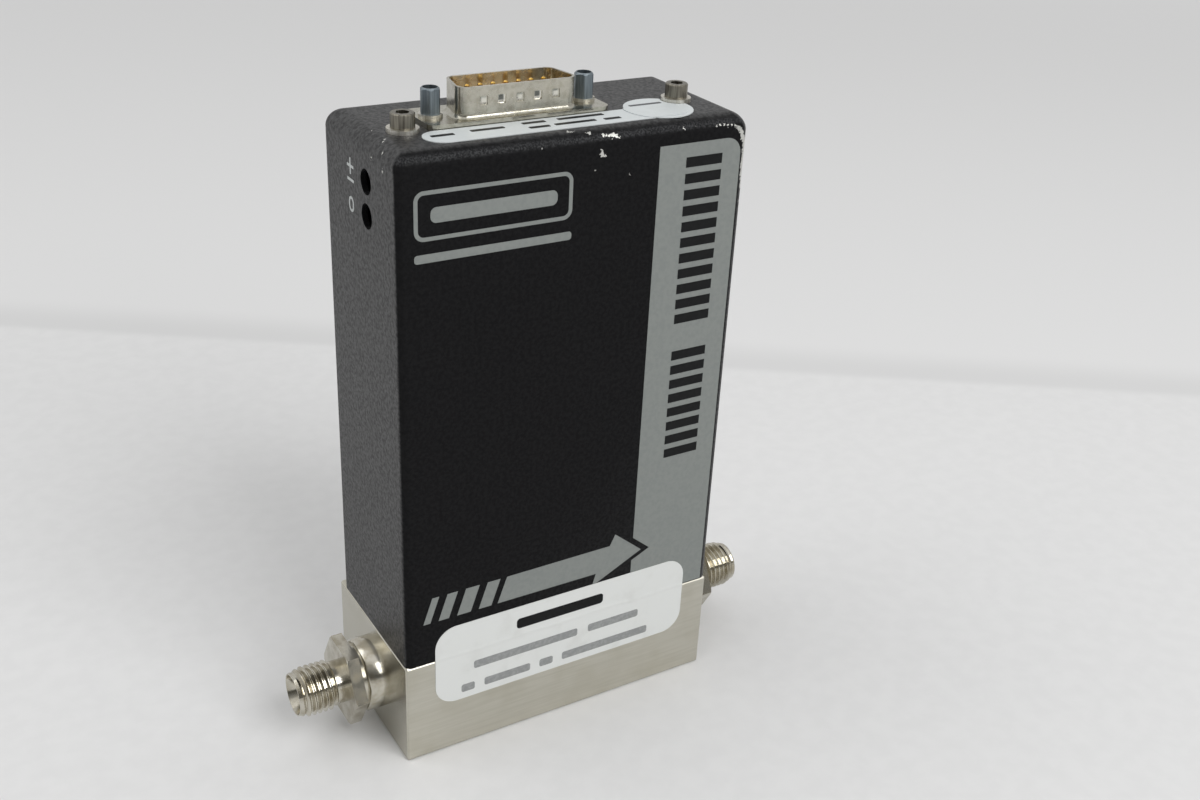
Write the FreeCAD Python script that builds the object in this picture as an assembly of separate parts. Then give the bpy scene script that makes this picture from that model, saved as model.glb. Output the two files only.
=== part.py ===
import FreeCAD, Part
import math
import os

V = FreeCAD.Vector
UP = V(0, 0, 1)
ALONG = V(1, 0, 0)
FRONT = V(0, -1, 0)
BACK = V(0, 1, 0)

# Millimetres. The origin is the middle of the underside of the flow block.
# X runs with the flow, the printed front faces -Y, Z is up.

# Flow block
BASE_LENGTH = 77.0
BASE_DEPTH = 37.5
BASE_HEIGHT = 25.0
BASE_CHAMFER = 0.4
PORT_HEIGHT = 13.0
INLET_BORE_R = 5.0
OUTLET_BORE_R = 4.2
MOUNT_HOLE_R = 1.75
MOUNT_HOLE_DEPTH = 5.5
MOUNT_HOLE_PITCH = 50.8

# Cover
COVER_END_STEP = 0.1
COVER_BACK_STEP = 2.3
COVER_HEIGHT = 112.0
COVER_WALL = 1.2
COVER_CORNER = 1.5
COVER_ROOF_EDGE = 3.5

# Tube fittings, measured outwards from the end of the block
COLLAR_R = 8.2
COLLAR_LENGTH = 4.4
GROOVE_R = 7.3
GROOVE_LENGTH = 1.3
HEX_ACROSS = 17.5
HEX_LENGTH = 2.7
HEX_CORNER_CUT = 0.4
HEX_CHAMFER_DEG = 30.0
HEX_FLAT_UP_DEG = 30.0
NECK_R = 4.8
NECK_LENGTH = 2.1
THREAD_R = 5.55
THREAD_LENGTH = 8.7
NOSE_STEP = 0.8
NOSE_LENGTH = 2.4
NOSE_RIM = 0.3
MOUTH_LENGTH = 4.4
TUBE_SOCKET_R = 3.22
TUBE_SOCKET_DEPTH = 9.5
FITTING_BORE_R = 2.4
SHANK_R = 6.4
SHANK_LENGTH = 10.0
SHANK_NECK_R = 5.5
THREAD_FIT = 0.05
PORT_SEAL_SECTION_R = 0.9
SEAL_FIT = 0.05

# Bypass in the flow bore
BYPASS_LENGTH = 16.0
BYPASS_SLOTS = 20
BYPASS_SLOT_WIDTH = 0.6
BYPASS_SLOT_DEPTH = 1.1
BYPASS_FIT = 0.05
RETAINER_THICKNESS = 1.0
RETAINER_BITE = 0.6
RETAINER_INNER_R = 4.0
RETAINER_GAP = 3.0

# Sensor on top of the block
SENSOR_PITCH = 26.0
SENSOR_TAP_R = 1.0
SENSOR_FLANGE = (40.0, 22.6, 6.0)
SENSOR_FLANGE_CORNER = 2.0
SENSOR_SCREW_MARGIN = 2.6
SENSOR_SCREW_BITE = 5.0
SENSOR_SEAL_SECTION_R = 0.7
SENSOR_SEAL_R = 1.85
TUBE_R = 0.7
TUBE_BORE_R = 0.4
TUBE_RISE = 15.0
TUBE_BEND = 4.0
TUBE_FIT = 0.05
WINDING_R = 1.5
WINDING_LENGTH = 6.0
WINDING_GAP = 2.0
HOUSING_WALL = 1.0
HOUSING_DEPTH = 12.0
HOUSING_SPARE = 3.0
HOUSING_CORNER = 2.5
LEAD_BLOCK = (14.0, 4.0, 2.4)
LEAD_PIN_PITCH = 3.0
LEAD_PIN_R = 0.35

# Frame and board
SHEET = 1.2
FOOT_GAP = 0.6
FRAME_GAP_ABOVE_SENSOR = 3.0
FRAME_BEND = 1.0
FOOT_LENGTH = 6.2
LEG_CLEARANCE = 2.6
EAR_WIDTH = 8.0
EAR_OVERHANG = 4.6
BOARD_THICKNESS = 1.6
BOARD_END_GAP = 4.0
FRAME_END_GAP = 0.3
BOARD_TOP_GAP = 4.4
BOARD_SENSOR_GAP = 6.0
BOARD_HOLE_INSET = 5.5
SPACER_R = 2.6
PAN_HEAD_RIM = 0.8
PAN_HEAD_HEIGHT = 1.6
PAN_HEAD_CROWN = 0.6
HEADER_POLES = 8
HEADER_PITCH = 2.54
HEADER_DEPTH = 8.8
HEADER_WALL = 1.1
HEADER_FLOOR = 2.4
HEADER_END = 4.0
HEADER_KEY = 4.5
HEADER_PIN = 0.62
HEADER_PIN_SHY = 1.2
HEADER_GAP = 1.0
CHIP = (19.0, 3.4, 6.4)
CHIP_STANDOFF = 0.8
CHIP_LEGS = 7
CHIP_LEG_WIDTH = 1.2
CHIP_LEG_THICKNESS = 0.3
CHIP_ROW_PITCH = 7.62
CHIP_SPACING = (26.0, 10.5)
CAPACITOR_R = 3.2
CAPACITOR_LENGTH = 8.0
CAPACITOR_EDGE = 0.5
CAPACITOR_PITCH = 10.0
CAPACITOR_COUNT = 3
CAPACITOR_MARGIN = 8.0
RESISTOR_R = 1.1
RESISTOR_LENGTH = 6.4
RESISTOR_PITCH = 3.2
RESISTOR_COUNT = 4
TRIMMER_LENGTH = 15.0
TRIMMER_WIDTH = 6.4
TRIMMER_DEPTH = 4.8
TRIMMER_INSET = 3.8
TRIM_HEAD_R = 1.2
TRIM_HEAD_LENGTH = 1.5
TRIM_SHANK_R = 0.8
TRIM_SHANK_LENGTH = 3.0
TRIM_SLOT = (0.5, 0.7)
TURN_CLEARANCE = 0.05
TURN_END_GAP = 0.1
GAIN_DROP = 8.9
TRIMMER_PITCH = 6.7
ACCESS_HOLE_R = 2.5
ACCESS_INSET = 14.05

# Connector on the roof
CONNECTOR_FROM_SCREW = 24.1
CONNECTOR_OFF_MIDDLE = 0.2
SHELL_WIDTH = 26.3
SHELL_DEPTH = 9.36
SHELL_RISE = 6.0
SHELL_WALL = 0.5
SHELL_CORNER = 2.2
SHELL_SLANT_DEG = 10.0
SHELL_FOOT = 0.9
FLANGE_END_MARGIN = 2.91
FLANGE_DEPTH = 12.4
FLANGE_PLATE = 0.5
FLANGE_CORNER = 1.8
DIMPLE = 1.7
DIMPLE_DEPTHS = (0.2, 0.45)
DIMPLE_PITCH = 3.88
DIMPLE_RISE = 3.3
DIMPLE_COUNT = 5
REAR_WIDTH = 24.4
REAR_DEPTH = 10.4
REAR_DROP = 4.2
REAR_CORNER = 1.5
CUTOUT_CLEARANCE = 0.3
INSERT_RISE = 0.8
INSERT_FIT = 0.05
PIN_R = 0.51
PIN_PITCH = 2.77
ROW_PITCH = 2.84
FRONT_ROW_COUNT = 8
BACK_ROW_COUNT = 7
PIN_SHY_OF_RIM = 1.0
CUP_R = 0.95
CUP_LENGTH = 4.4
CUP_BORE_DEPTH = 3.1
JACK_PITCH = 33.32
JACK_ACROSS = 3.6
JACK_R = 1.98
JACK_LENGTH = 5.0
JACK_TURN_DEG = 10.0
JACK_TAP_DEPTH = 4.4
SMALL_THREAD_R = 1.42
SMALL_HOLE_R = 1.65
LOCK_WASHER_R = 2.35
LOCK_WASHER_BORE_R = 1.6
LOCK_WASHER_THICKNESS = 0.6
LOCK_WASHER_GAP = 0.6
LOCK_GAP_ANGLE = -40.0
NUT_ACROSS = 5.5
NUT_LENGTH = 2.4

# Cover screws, placed from the cover's ends and front
LEFT_SCREW_INSET = 7.4
RIGHT_SCREW_INSET = 9.0
COVER_SCREW_INSET = 13.65
CAP_HEAD_R = 2.33
CAP_HEAD_HEIGHT = 2.84
CAP_SOCKET_ACROSS = 2.38
CAP_SOCKET_DEPTH = 1.3
CAP_SHANK_LENGTH = 6.0
WASHER_R = 3.1
WASHER_THICKNESS = 0.8
CLINCH_R = 3.0
CLINCH_LENGTH = 2.0
CLINCH_SHOULDER_R = 2.2

# Stickers
LABEL_THICKNESS = 0.15
ROUND_LABEL_R = 7.1
ROUND_LABEL_FROM_SCREW = 6.9
ROUND_LABEL_INSET = 9.55
SERIAL_LABEL_LEFT_INSET = 8.8
SERIAL_LABEL_RIGHT_INSET = 11.0
SERIAL_LABEL_WIDTH = 7.6
SERIAL_LABEL_INSET = 7.5
SEAL_LABEL_WIDTH = 63.5
SEAL_LABEL_HEIGHT = 20.0
SEAL_LABEL_CORNER = 5.0
SEAL_LABEL_BELOW_JOINT = 12.3

# Places that follow from the sizes above
FACE_Y = -BASE_DEPTH / 2
COVER_LENGTH = BASE_LENGTH - 2 * COVER_END_STEP
COVER_DEPTH = BASE_DEPTH - COVER_BACK_STEP
COVER_Y = FACE_Y + COVER_DEPTH / 2
PORT_Y = COVER_Y
ROOF = BASE_HEIGHT + COVER_HEIGHT
UNDER_ROOF = ROOF - COVER_WALL
BASE_END = BASE_LENGTH / 2
SHELF = BASE_HEIGHT + SENSOR_FLANGE[2]
TUBE_TOP = SHELF + TUBE_RISE
HOUSING_TOP = TUBE_TOP + WINDING_R + HOUSING_SPARE
HOUSING_LENGTH = SENSOR_PITCH + 2 * (TUBE_R + HOUSING_WALL + HOUSING_SPARE)
ACCESS_Y = FACE_Y + ACCESS_INSET
BOARD_FRONT = ACCESS_Y + TRIMMER_DEPTH / 2
BOARD_BACK = BOARD_FRONT + BOARD_THICKNESS
WEB_BACK = FACE_Y + COVER_DEPTH - COVER_WALL - FOOT_GAP - FOOT_LENGTH
WEB_FRONT = WEB_BACK - SHEET
COVER_INNER_END = COVER_LENGTH / 2 - COVER_WALL
BOARD_END = COVER_INNER_END - BOARD_END_GAP
FRAME_END = COVER_INNER_END - (COVER_ROOF_EDGE - COVER_WALL) - FRAME_END_GAP
LEG_INNER = SENSOR_FLANGE[0] / 2 + LEG_CLEARANCE
BOARD_BOTTOM = HOUSING_TOP + LEAD_BLOCK[2] + BOARD_SENSOR_GAP
BOARD_TOP = UNDER_ROOF - BOARD_TOP_GAP
TRIM_HEAD_X = -COVER_INNER_END + TRIMMER_INSET - TRIM_HEAD_LENGTH
GAIN_Z = ROOF - GAIN_DROP
ZERO_Z = GAIN_Z - TRIMMER_PITCH
HEADER_Z = ZERO_Z - TRIMMER_WIDTH / 2 - HEADER_GAP - HEADER_DEPTH / 2
RESISTOR_TOP = HEADER_Z - HEADER_DEPTH / 2 - HEADER_GAP
COVER_SCREW_LEFT_X = -COVER_LENGTH / 2 + LEFT_SCREW_INSET
COVER_SCREW_RIGHT_X = COVER_LENGTH / 2 - RIGHT_SCREW_INSET
COVER_SCREW_Y = FACE_Y + COVER_SCREW_INSET
CONNECTOR_X = COVER_SCREW_LEFT_X + CONNECTOR_FROM_SCREW
CONNECTOR_Y = COVER_Y + CONNECTOR_OFF_MIDDLE
FLANGE_WIDTH = JACK_PITCH + 2 * FLANGE_END_MARGIN
FLANGE_TOP = ROOF + 2 * FLANGE_PLATE
RIM = FLANGE_TOP + SHELL_RISE
REAR_BOTTOM = UNDER_ROOF - REAR_DROP
CUP_BOTTOM = REAR_BOTTOM - CUP_LENGTH
JACK_SEAT = FLANGE_TOP + LOCK_WASHER_THICKNESS
CAP_SEAT = ROOF + WASHER_THICKNESS
ROUND_LABEL_SPOT = V(COVER_SCREW_RIGHT_X - ROUND_LABEL_FROM_SCREW, FACE_Y + ROUND_LABEL_INSET, 0)
SERIAL_LABEL_Y = FACE_Y + SERIAL_LABEL_INSET
JACK_SPOTS = [V(CONNECTOR_X + side * JACK_PITCH / 2, CONNECTOR_Y, 0) for side in (-1, 1)]
CAP_SPOTS = [
    V(COVER_SCREW_LEFT_X, COVER_SCREW_Y, 0),
    V(COVER_SCREW_RIGHT_X, COVER_SCREW_Y, 0),
]


def block(x, y, z):
    """A box between three pairs of limits."""
    return Part.makeBox(x[1] - x[0], y[1] - y[0], z[1] - z[0], V(x[0], y[0], z[0]))


def span(middle, length):
    """The two limits of a length about its middle."""
    return (middle - length / 2, middle + length / 2)


def rod(radius, start, run):
    """A round bar from a point along a vector."""
    return Part.makeCylinder(radius, run.Length, start, run)


def upright(radius, spot, low, high):
    """A round bar standing over a spot between two heights."""
    return rod(radius, V(spot.x, spot.y, low), V(0, 0, high - low))


def placed(shape, point, direction):
    """Move a shape modelled along +Z to a point, facing a direction."""
    shape.Placement = FreeCAD.Placement(point, FreeCAD.Rotation(UP, direction))
    return shape


def hex_bar(across, length, point, direction, turn=0.0):
    """A hexagonal bar, sized across its flats."""
    corner_r = across / math.sqrt(3)
    corners = []
    for i in range(7):
        angle = math.radians(turn + 60 * i)
        corners.append(V(corner_r * math.cos(angle), corner_r * math.sin(angle), 0))
    bar = Part.Face(Part.makePolygon(corners)).extrude(V(0, 0, length))
    return placed(bar, point, direction)


def turned(profile, point, direction):
    """Turn an outline of (height, radius) pairs about an axis from a point."""
    corners = [V(r, 0, h) for h, r in profile]
    corners.append(corners[0])
    solid = Part.Face(Part.makePolygon(corners)).revolve(V(0, 0, 0), UP, 360)
    return placed(solid, point, direction)


def uprights(shape):
    """The straight edges of a shape that run up and down."""
    found = []
    for edge in shape.Edges:
        if len(edge.Vertexes) == 2:
            run = edge.Vertexes[1].Point - edge.Vertexes[0].Point
            if abs(run.x) + abs(run.y) < 1e-6:
                found.append(edge)
    return found


def edges_at(shape, height):
    """The edges that lie flat at one height."""
    return [e for e in shape.Edges if all(abs(v.Z - height) < 1e-6 for v in e.Vertexes)]


def rounded_block(x, y, z, radius):
    """A box with its upright edges rounded."""
    body = block(x, y, z)
    return body.makeFillet(radius, uprights(body))


def can_form(length, depth, height, corner, roof_edge):
    """The outside of a drawn can, standing on z = 0 about the origin."""
    body = rounded_block(span(0, length), span(0, depth), (0, height), corner)
    return body.makeFillet(roof_edge, edges_at(body, height))


def fused(shapes):
    """Join shapes into one solid."""
    first = shapes[0]
    return first.multiFuse(shapes[1:]).removeSplitter() if len(shapes) > 1 else first


def save(name, shape):
    """Write one sub-part."""
    shape.exportStep(os.path.join("parts", name + ".step"))


def save_group(name, solids):
    """Write like pieces as separate solids of one sub-part."""
    save(name, Part.makeCompound(solids))


def port_mouth():
    """Radius and depth of the seal's seat in each end of the block."""
    ring_r = SHANK_NECK_R + SEAL_FIT + PORT_SEAL_SECTION_R
    return ring_r + PORT_SEAL_SECTION_R + SEAL_FIT, 2 * (PORT_SEAL_SECTION_R + SEAL_FIT)


def sensor_screw_spots():
    """The four corners of the sensor's foot that take a screw."""
    reach_x = SENSOR_FLANGE[0] / 2 - SENSOR_SCREW_MARGIN
    reach_y = SENSOR_FLANGE[1] / 2 - SENSOR_SCREW_MARGIN
    return [V(sx * reach_x, PORT_Y + sy * reach_y, 0) for sx in (-1, 1) for sy in (-1, 1)]


def tap_spots():
    """Where the sensor's two legs meet the block."""
    return [V(side * SENSOR_PITCH / 2, PORT_Y, 0) for side in (-1, 1)]


def foot_screw_spots():
    """Where the frame's feet are screwed down."""
    y = WEB_BACK + (FOOT_LENGTH + FRAME_BEND) / 2
    return [V(side * (FRAME_END + LEG_INNER) / 2, y, 0) for side in (-1, 1)]


def seal_seat_r():
    """Radius of the seats for the sensor's two seals."""
    return SENSOR_SEAL_R + SENSOR_SEAL_SECTION_R + SEAL_FIT


def seal_seat_depth():
    """Depth of the seats for the sensor's two seals."""
    return 2 * SENSOR_SEAL_SECTION_R + SEAL_FIT


def base_block():
    """The flow block: stepped bore, ports, taps and tapped holes."""
    body = block(span(0, BASE_LENGTH), span(0, BASE_DEPTH), (0, BASE_HEIGHT))
    body = body.makeChamfer(BASE_CHAMFER, body.Edges)
    step = V(BYPASS_LENGTH / 2, PORT_Y, PORT_HEIGHT)
    cuts = [rod(OUTLET_BORE_R, step, V(BASE_LENGTH, 0, 0))]
    cuts.append(rod(INLET_BORE_R, step, V(-BASE_LENGTH, 0, 0)))
    mouth_r, mouth_depth = port_mouth()
    for side in (-1, 1):
        end = V(side * BASE_END, PORT_Y, PORT_HEIGHT)
        inwards = V(-side, 0, 0)
        cuts.append(rod(SHANK_R + THREAD_FIT, end, inwards * (SHANK_LENGTH + SEAL_FIT)))
        cuts.append(rod(mouth_r, end, inwards * mouth_depth))
    groove = V(-BYPASS_LENGTH / 2, PORT_Y, PORT_HEIGHT)
    cuts.append(rod(INLET_BORE_R + RETAINER_BITE, groove, V(-RETAINER_THICKNESS, 0, 0)))
    for spot in tap_spots():
        cuts.append(upright(SENSOR_TAP_R, spot, PORT_HEIGHT, BASE_HEIGHT))
        cuts.append(upright(seal_seat_r(), spot, BASE_HEIGHT - seal_seat_depth(), BASE_HEIGHT))
    for spot in sensor_screw_spots() + foot_screw_spots():
        floor = BASE_HEIGHT - SENSOR_SCREW_BITE - SEAL_FIT
        cuts.append(upright(SMALL_THREAD_R, spot, floor, BASE_HEIGHT))
    for side in (-1, 1):
        spot = V(side * MOUNT_HOLE_PITCH / 2, 0, 0)
        cuts.append(upright(MOUNT_HOLE_R, spot, 0, MOUNT_HOLE_DEPTH))
    return body.cut(Part.makeCompound(cuts))


def fitting(side):
    """One tube fitting body: shank, collar, wrench hex, neck and threaded nose."""
    hex_start = COLLAR_LENGTH + GROOVE_LENGTH
    neck_start = hex_start + HEX_LENGTH
    thread_start = neck_start + NECK_LENGTH
    tip = thread_start + THREAD_LENGTH
    mouth_depth = port_mouth()[1]
    nose_r = THREAD_R - NOSE_STEP
    outline = [
        (-SHANK_LENGTH, 0),
        (-SHANK_LENGTH, SHANK_R - BASE_CHAMFER),
        (-SHANK_LENGTH + BASE_CHAMFER, SHANK_R),
        (-mouth_depth, SHANK_R),
        (-mouth_depth, SHANK_NECK_R),
        (0, SHANK_NECK_R),
        (0, COLLAR_R),
        (COLLAR_LENGTH - BASE_CHAMFER, COLLAR_R),
        (COLLAR_LENGTH, COLLAR_R - BASE_CHAMFER),
        (COLLAR_LENGTH, GROOVE_R),
        (hex_start, GROOVE_R),
        (hex_start, NECK_R),
        (thread_start, NECK_R),
        (thread_start + THREAD_R - NECK_R, THREAD_R),
        (tip - NOSE_LENGTH, THREAD_R),
        (tip, nose_r),
        (tip, 0),
    ]
    point = V(side * BASE_END, PORT_Y, PORT_HEIGHT)
    outwards = V(side, 0, 0)
    body = turned(outline, point, outwards)
    corner_r = HEX_ACROSS / math.sqrt(3)
    bevel = HEX_CORNER_CUT * math.tan(math.radians(HEX_CHAMFER_DEG))
    hex_point = point + outwards * hex_start
    nut = hex_bar(HEX_ACROSS, HEX_LENGTH, hex_point, outwards, HEX_FLAT_UP_DEG)
    lathe = turned(
        [
            (hex_start, 0),
            (hex_start, corner_r),
            (neck_start - bevel, corner_r),
            (neck_start, corner_r - HEX_CORNER_CUT),
            (neck_start, 0),
        ],
        point,
        outwards,
    )
    body = body.fuse(nut.common(lathe))
    bore_end = V(side * (BASE_END + tip), PORT_Y, PORT_HEIGHT)
    body = body.cut(rod(FITTING_BORE_R, bore_end, outwards * -(tip + SHANK_LENGTH)))
    body = body.cut(rod(TUBE_SOCKET_R, bore_end, outwards * -TUBE_SOCKET_DEPTH))
    mouth = [
        (tip - MOUTH_LENGTH, 0),
        (tip - MOUTH_LENGTH, TUBE_SOCKET_R),
        (tip, nose_r - NOSE_RIM),
        (tip, 0),
    ]
    return body.cut(turned(mouth, point, outwards))


def port_seal(side):
    """The O-ring round a fitting's neck, in the mouth of its port."""
    ring_r = SHANK_NECK_R + SEAL_FIT + PORT_SEAL_SECTION_R
    inset = PORT_SEAL_SECTION_R + SEAL_FIT
    middle = V(side * (BASE_END - inset), PORT_Y, PORT_HEIGHT)
    return Part.makeTorus(ring_r, PORT_SEAL_SECTION_R, middle, ALONG)


def bypass_element():
    """The flow splitter: a plug with slots along its rim and a cone on its nose."""
    plug_r = INLET_BORE_R - BYPASS_FIT
    start = V(-BYPASS_LENGTH / 2, PORT_Y, PORT_HEIGHT)
    plug = turned(
        [
            (-plug_r / 2, 0),
            (0, plug_r - BYPASS_SLOT_DEPTH),
            (0, plug_r),
            (BYPASS_LENGTH, plug_r),
            (BYPASS_LENGTH, 0),
        ],
        start,
        ALONG,
    )
    slots = []
    for i in range(BYPASS_SLOTS):
        slot = block(
            (start.x, start.x + BYPASS_LENGTH),
            span(PORT_Y, BYPASS_SLOT_WIDTH),
            (PORT_HEIGHT + plug_r - BYPASS_SLOT_DEPTH, PORT_HEIGHT + plug_r + BYPASS_SLOT_DEPTH),
        )
        slot.rotate(start, ALONG, i * 360 / BYPASS_SLOTS)
        slots.append(slot)
    return plug.cut(Part.makeCompound(slots))


def bypass_retainer():
    """The snap ring that holds the splitter against the step in the bore."""
    start = V(-BYPASS_LENGTH / 2, PORT_Y, PORT_HEIGHT)
    run = V(-RETAINER_THICKNESS, 0, 0)
    ring = rod(INLET_BORE_R + RETAINER_BITE - BYPASS_FIT, start, run)
    ring = ring.cut(rod(RETAINER_INNER_R, start, run))
    gap = block(
        (start.x - RETAINER_THICKNESS, start.x),
        span(PORT_Y, RETAINER_GAP),
        (PORT_HEIGHT - 2 * INLET_BORE_R, PORT_HEIGHT),
    )
    return ring.cut(gap)


def sensor_flange():
    """The sensor's foot, with a hole for each leg and each screw."""
    length, depth, _ = SENSOR_FLANGE
    x, y = span(0, length), span(PORT_Y, depth)
    body = rounded_block(x, y, (BASE_HEIGHT, SHELF), SENSOR_FLANGE_CORNER)
    for spot in tap_spots():
        body = body.cut(upright(TUBE_R + TUBE_FIT, spot, BASE_HEIGHT, SHELF))
    for spot in sensor_screw_spots():
        body = body.cut(upright(SMALL_HOLE_R, spot, BASE_HEIGHT, SHELF))
    return body


def sensor_seals():
    """The two O-rings under the sensor's foot."""
    z = BASE_HEIGHT - seal_seat_depth() / 2
    seals = []
    for spot in tap_spots():
        seals.append(Part.makeTorus(SENSOR_SEAL_R, SENSOR_SEAL_SECTION_R, V(spot.x, spot.y, z), UP))
    return seals


def cap_screw(spot, seat, shank):
    """A socket head cap screw standing in a hole over a spot."""
    head = upright(CAP_HEAD_R, spot, seat, seat + CAP_HEAD_HEIGHT)
    head = head.makeChamfer(BASE_CHAMFER / 2, edges_at(head, seat + CAP_HEAD_HEIGHT))
    key = V(spot.x, spot.y, seat + CAP_HEAD_HEIGHT - CAP_SOCKET_DEPTH)
    head = head.cut(hex_bar(CAP_SOCKET_ACROSS, CAP_SOCKET_DEPTH, key, UP))
    return fused([head, upright(SMALL_THREAD_R - THREAD_FIT, spot, seat - shank, seat)])


def sensor_tube():
    """The capillary: two legs, two bends and the heated run between them."""

    def pipe(radius):
        left, right = tap_spots()
        bend_z = TUBE_TOP - TUBE_BEND
        pieces = [upright(radius, spot, BASE_HEIGHT, bend_z) for spot in (left, right)]
        run = SENSOR_PITCH - 2 * TUBE_BEND
        pieces.append(rod(radius, V(left.x + TUBE_BEND, left.y, TUBE_TOP), V(run, 0, 0)))
        for spot, side in ((left, 1), (right, -1)):
            centre = V(spot.x + side * TUBE_BEND, spot.y, bend_z)
            ring = Part.makeTorus(TUBE_BEND, radius, centre, BACK)
            outer = TUBE_BEND + 2 * radius
            x = sorted((centre.x, centre.x - side * outer))
            corner = block(x, span(spot.y, 4 * radius), (bend_z, bend_z + outer))
            pieces.append(ring.common(corner))
        return fused(pieces)

    return pipe(TUBE_R).cut(pipe(TUBE_BORE_R))


def sensor_windings():
    """The two heated windings on the tube's level run."""
    middle = V(0, PORT_Y, TUBE_TOP)
    coils = []
    for side in (-1, 1):
        start = middle + V(side * WINDING_GAP / 2, 0, 0)
        run = V(side * WINDING_LENGTH, 0, 0)
        coils.append(rod(WINDING_R, start, run).cut(rod(TUBE_R + TUBE_FIT, start, run)))
    return coils


def sensor_housing():
    """The can over the tube, with a slot in its top for the lead block."""
    inner_length = HOUSING_LENGTH - 2 * HOUSING_WALL
    inner_depth = HOUSING_DEPTH - 2 * HOUSING_WALL
    rise = HOUSING_TOP - SHELF
    outer = can_form(HOUSING_LENGTH, HOUSING_DEPTH, rise, HOUSING_CORNER, HOUSING_WALL)
    hollow = rounded_block(
        span(0, inner_length),
        span(0, inner_depth),
        (0, rise - HOUSING_WALL),
        HOUSING_CORNER - HOUSING_WALL,
    )
    slot = block(
        span(0, LEAD_BLOCK[0] - 2 * HOUSING_WALL),
        span(0, LEAD_BLOCK[1] - HOUSING_WALL),
        (0, rise),
    )
    can = outer.cut(hollow).cut(slot)
    can.translate(V(0, PORT_Y, SHELF))
    return can


def lead_pin_spots():
    """The four pins that the windings' leads are soldered to."""
    return [V((i - 1.5) * LEAD_PIN_PITCH, PORT_Y, 0) for i in range(4)]


def lead_block():
    """The moulded block on the can that holds the lead pins."""
    length, depth, rise = LEAD_BLOCK
    body = block(span(0, length), span(PORT_Y, depth), (HOUSING_TOP, HOUSING_TOP + rise))
    for spot in lead_pin_spots():
        body = body.cut(upright(LEAD_PIN_R, spot, HOUSING_TOP, HOUSING_TOP + rise))
    return body


def lead_pins():
    """The pins through the lead block."""
    reach = LEAD_BLOCK[2] / 2
    low = HOUSING_TOP - reach
    high = HOUSING_TOP + LEAD_BLOCK[2] + reach
    return [upright(LEAD_PIN_R, spot, low, high) for spot in lead_pin_spots()]


def bent_leg(side):
    """One leg of the frame with its foot turned back along the block."""
    x = sorted((side * LEG_INNER, side * FRAME_END))
    leg = block(x, (WEB_FRONT, WEB_BACK), (BASE_HEIGHT, UNDER_ROOF))
    foot = block(x, (WEB_FRONT, WEB_BACK + FOOT_LENGTH), (BASE_HEIGHT, BASE_HEIGHT + SHEET))
    return leg, foot


def bends(shape):
    """The edges along X where the sheet turns, with the radius of each."""
    outside, inside = [], []
    thick, rise = round(SHEET, 4), round(UNDER_ROOF - BASE_HEIGHT, 4)
    for edge in shape.Edges:
        a, b = (v.Point for v in edge.Vertexes[:2]) if len(edge.Vertexes) == 2 else (UP, UP)
        if abs(a.y - b.y) + abs(a.z - b.z) > 1e-6 or abs(a.x - b.x) < 1e-6:
            continue
        where = (round(a.y - WEB_FRONT, 4), round(a.z - BASE_HEIGHT, 4))
        if where in ((0, 0), (thick, rise)):
            outside.append(edge)
        if where in ((thick, thick), (0, round(rise - thick, 4))):
            inside.append(edge)
    return outside, inside


def chassis_frame():
    """The bent bracket: two feet, a web behind the board and an ear under each cover screw."""
    window_top = HOUSING_TOP + FRAME_GAP_ABOVE_SENSOR
    web = block((-FRAME_END, FRAME_END), (WEB_FRONT, WEB_BACK), (window_top, UNDER_ROOF))
    pieces = [web]
    for side in (-1, 1):
        pieces.extend(bent_leg(side))
    front = COVER_SCREW_Y - EAR_OVERHANG
    low, high = UNDER_ROOF - SHEET, UNDER_ROOF
    left, right = CAP_SPOTS[0].x + EAR_WIDTH / 2, CAP_SPOTS[1].x - EAR_WIDTH / 2
    for x in ((-FRAME_END, left), (right, FRAME_END)):
        pieces.append(block(x, (front, WEB_BACK), (low, high)))
    body = fused(pieces)
    between = (low - 2 * FRAME_BEND, high)
    body = body.cut(block((left, right), (WEB_FRONT, WEB_BACK), between))
    body = body.makeFillet(FRAME_BEND + SHEET, bends(body)[0])
    body = body.makeFillet(FRAME_BEND, bends(body)[1])
    for spot in CAP_SPOTS:
        body = body.cut(upright(CLINCH_SHOULDER_R + INSERT_FIT, spot, low, high))
    for spot in foot_screw_spots():
        body = body.cut(upright(SMALL_HOLE_R, spot, BASE_HEIGHT, BASE_HEIGHT + SHEET))
    for x, z in board_hole_spots():
        body = body.cut(rod(SMALL_THREAD_R, V(x, WEB_FRONT, z), BACK * SHEET))
    return body


def clinch_nuts():
    """The nuts pressed up into the frame's ears."""
    nuts = []
    low = UNDER_ROOF - SHEET - CLINCH_LENGTH
    for spot in CAP_SPOTS:
        nut = upright(CLINCH_R, spot, low, UNDER_ROOF - SHEET)
        nut = fused([nut, upright(CLINCH_SHOULDER_R, spot, low, UNDER_ROOF)])
        nuts.append(nut.cut(upright(SMALL_THREAD_R, spot, low, UNDER_ROOF)))
    return nuts


def board_hole_spots():
    """The board's four screw holes as (x, z) pairs."""
    x = BOARD_END - BOARD_HOLE_INSET
    low = BOARD_BOTTOM + BOARD_HOLE_INSET
    high = ZERO_Z - TRIMMER_WIDTH / 2 - BOARD_HOLE_INSET
    return [(sx * x, z) for sx in (-1, 1) for z in (low, high)]


def notch():
    """The limits of the board's notch under the connector, as x pair and floor."""
    margin = BOARD_TOP_GAP / 2
    left = TRIM_HEAD_X + TRIM_HEAD_LENGTH + TRIMMER_LENGTH
    right = CONNECTOR_X + REAR_WIDTH / 2 + margin
    return (left, right), CUP_BOTTOM - margin


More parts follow.
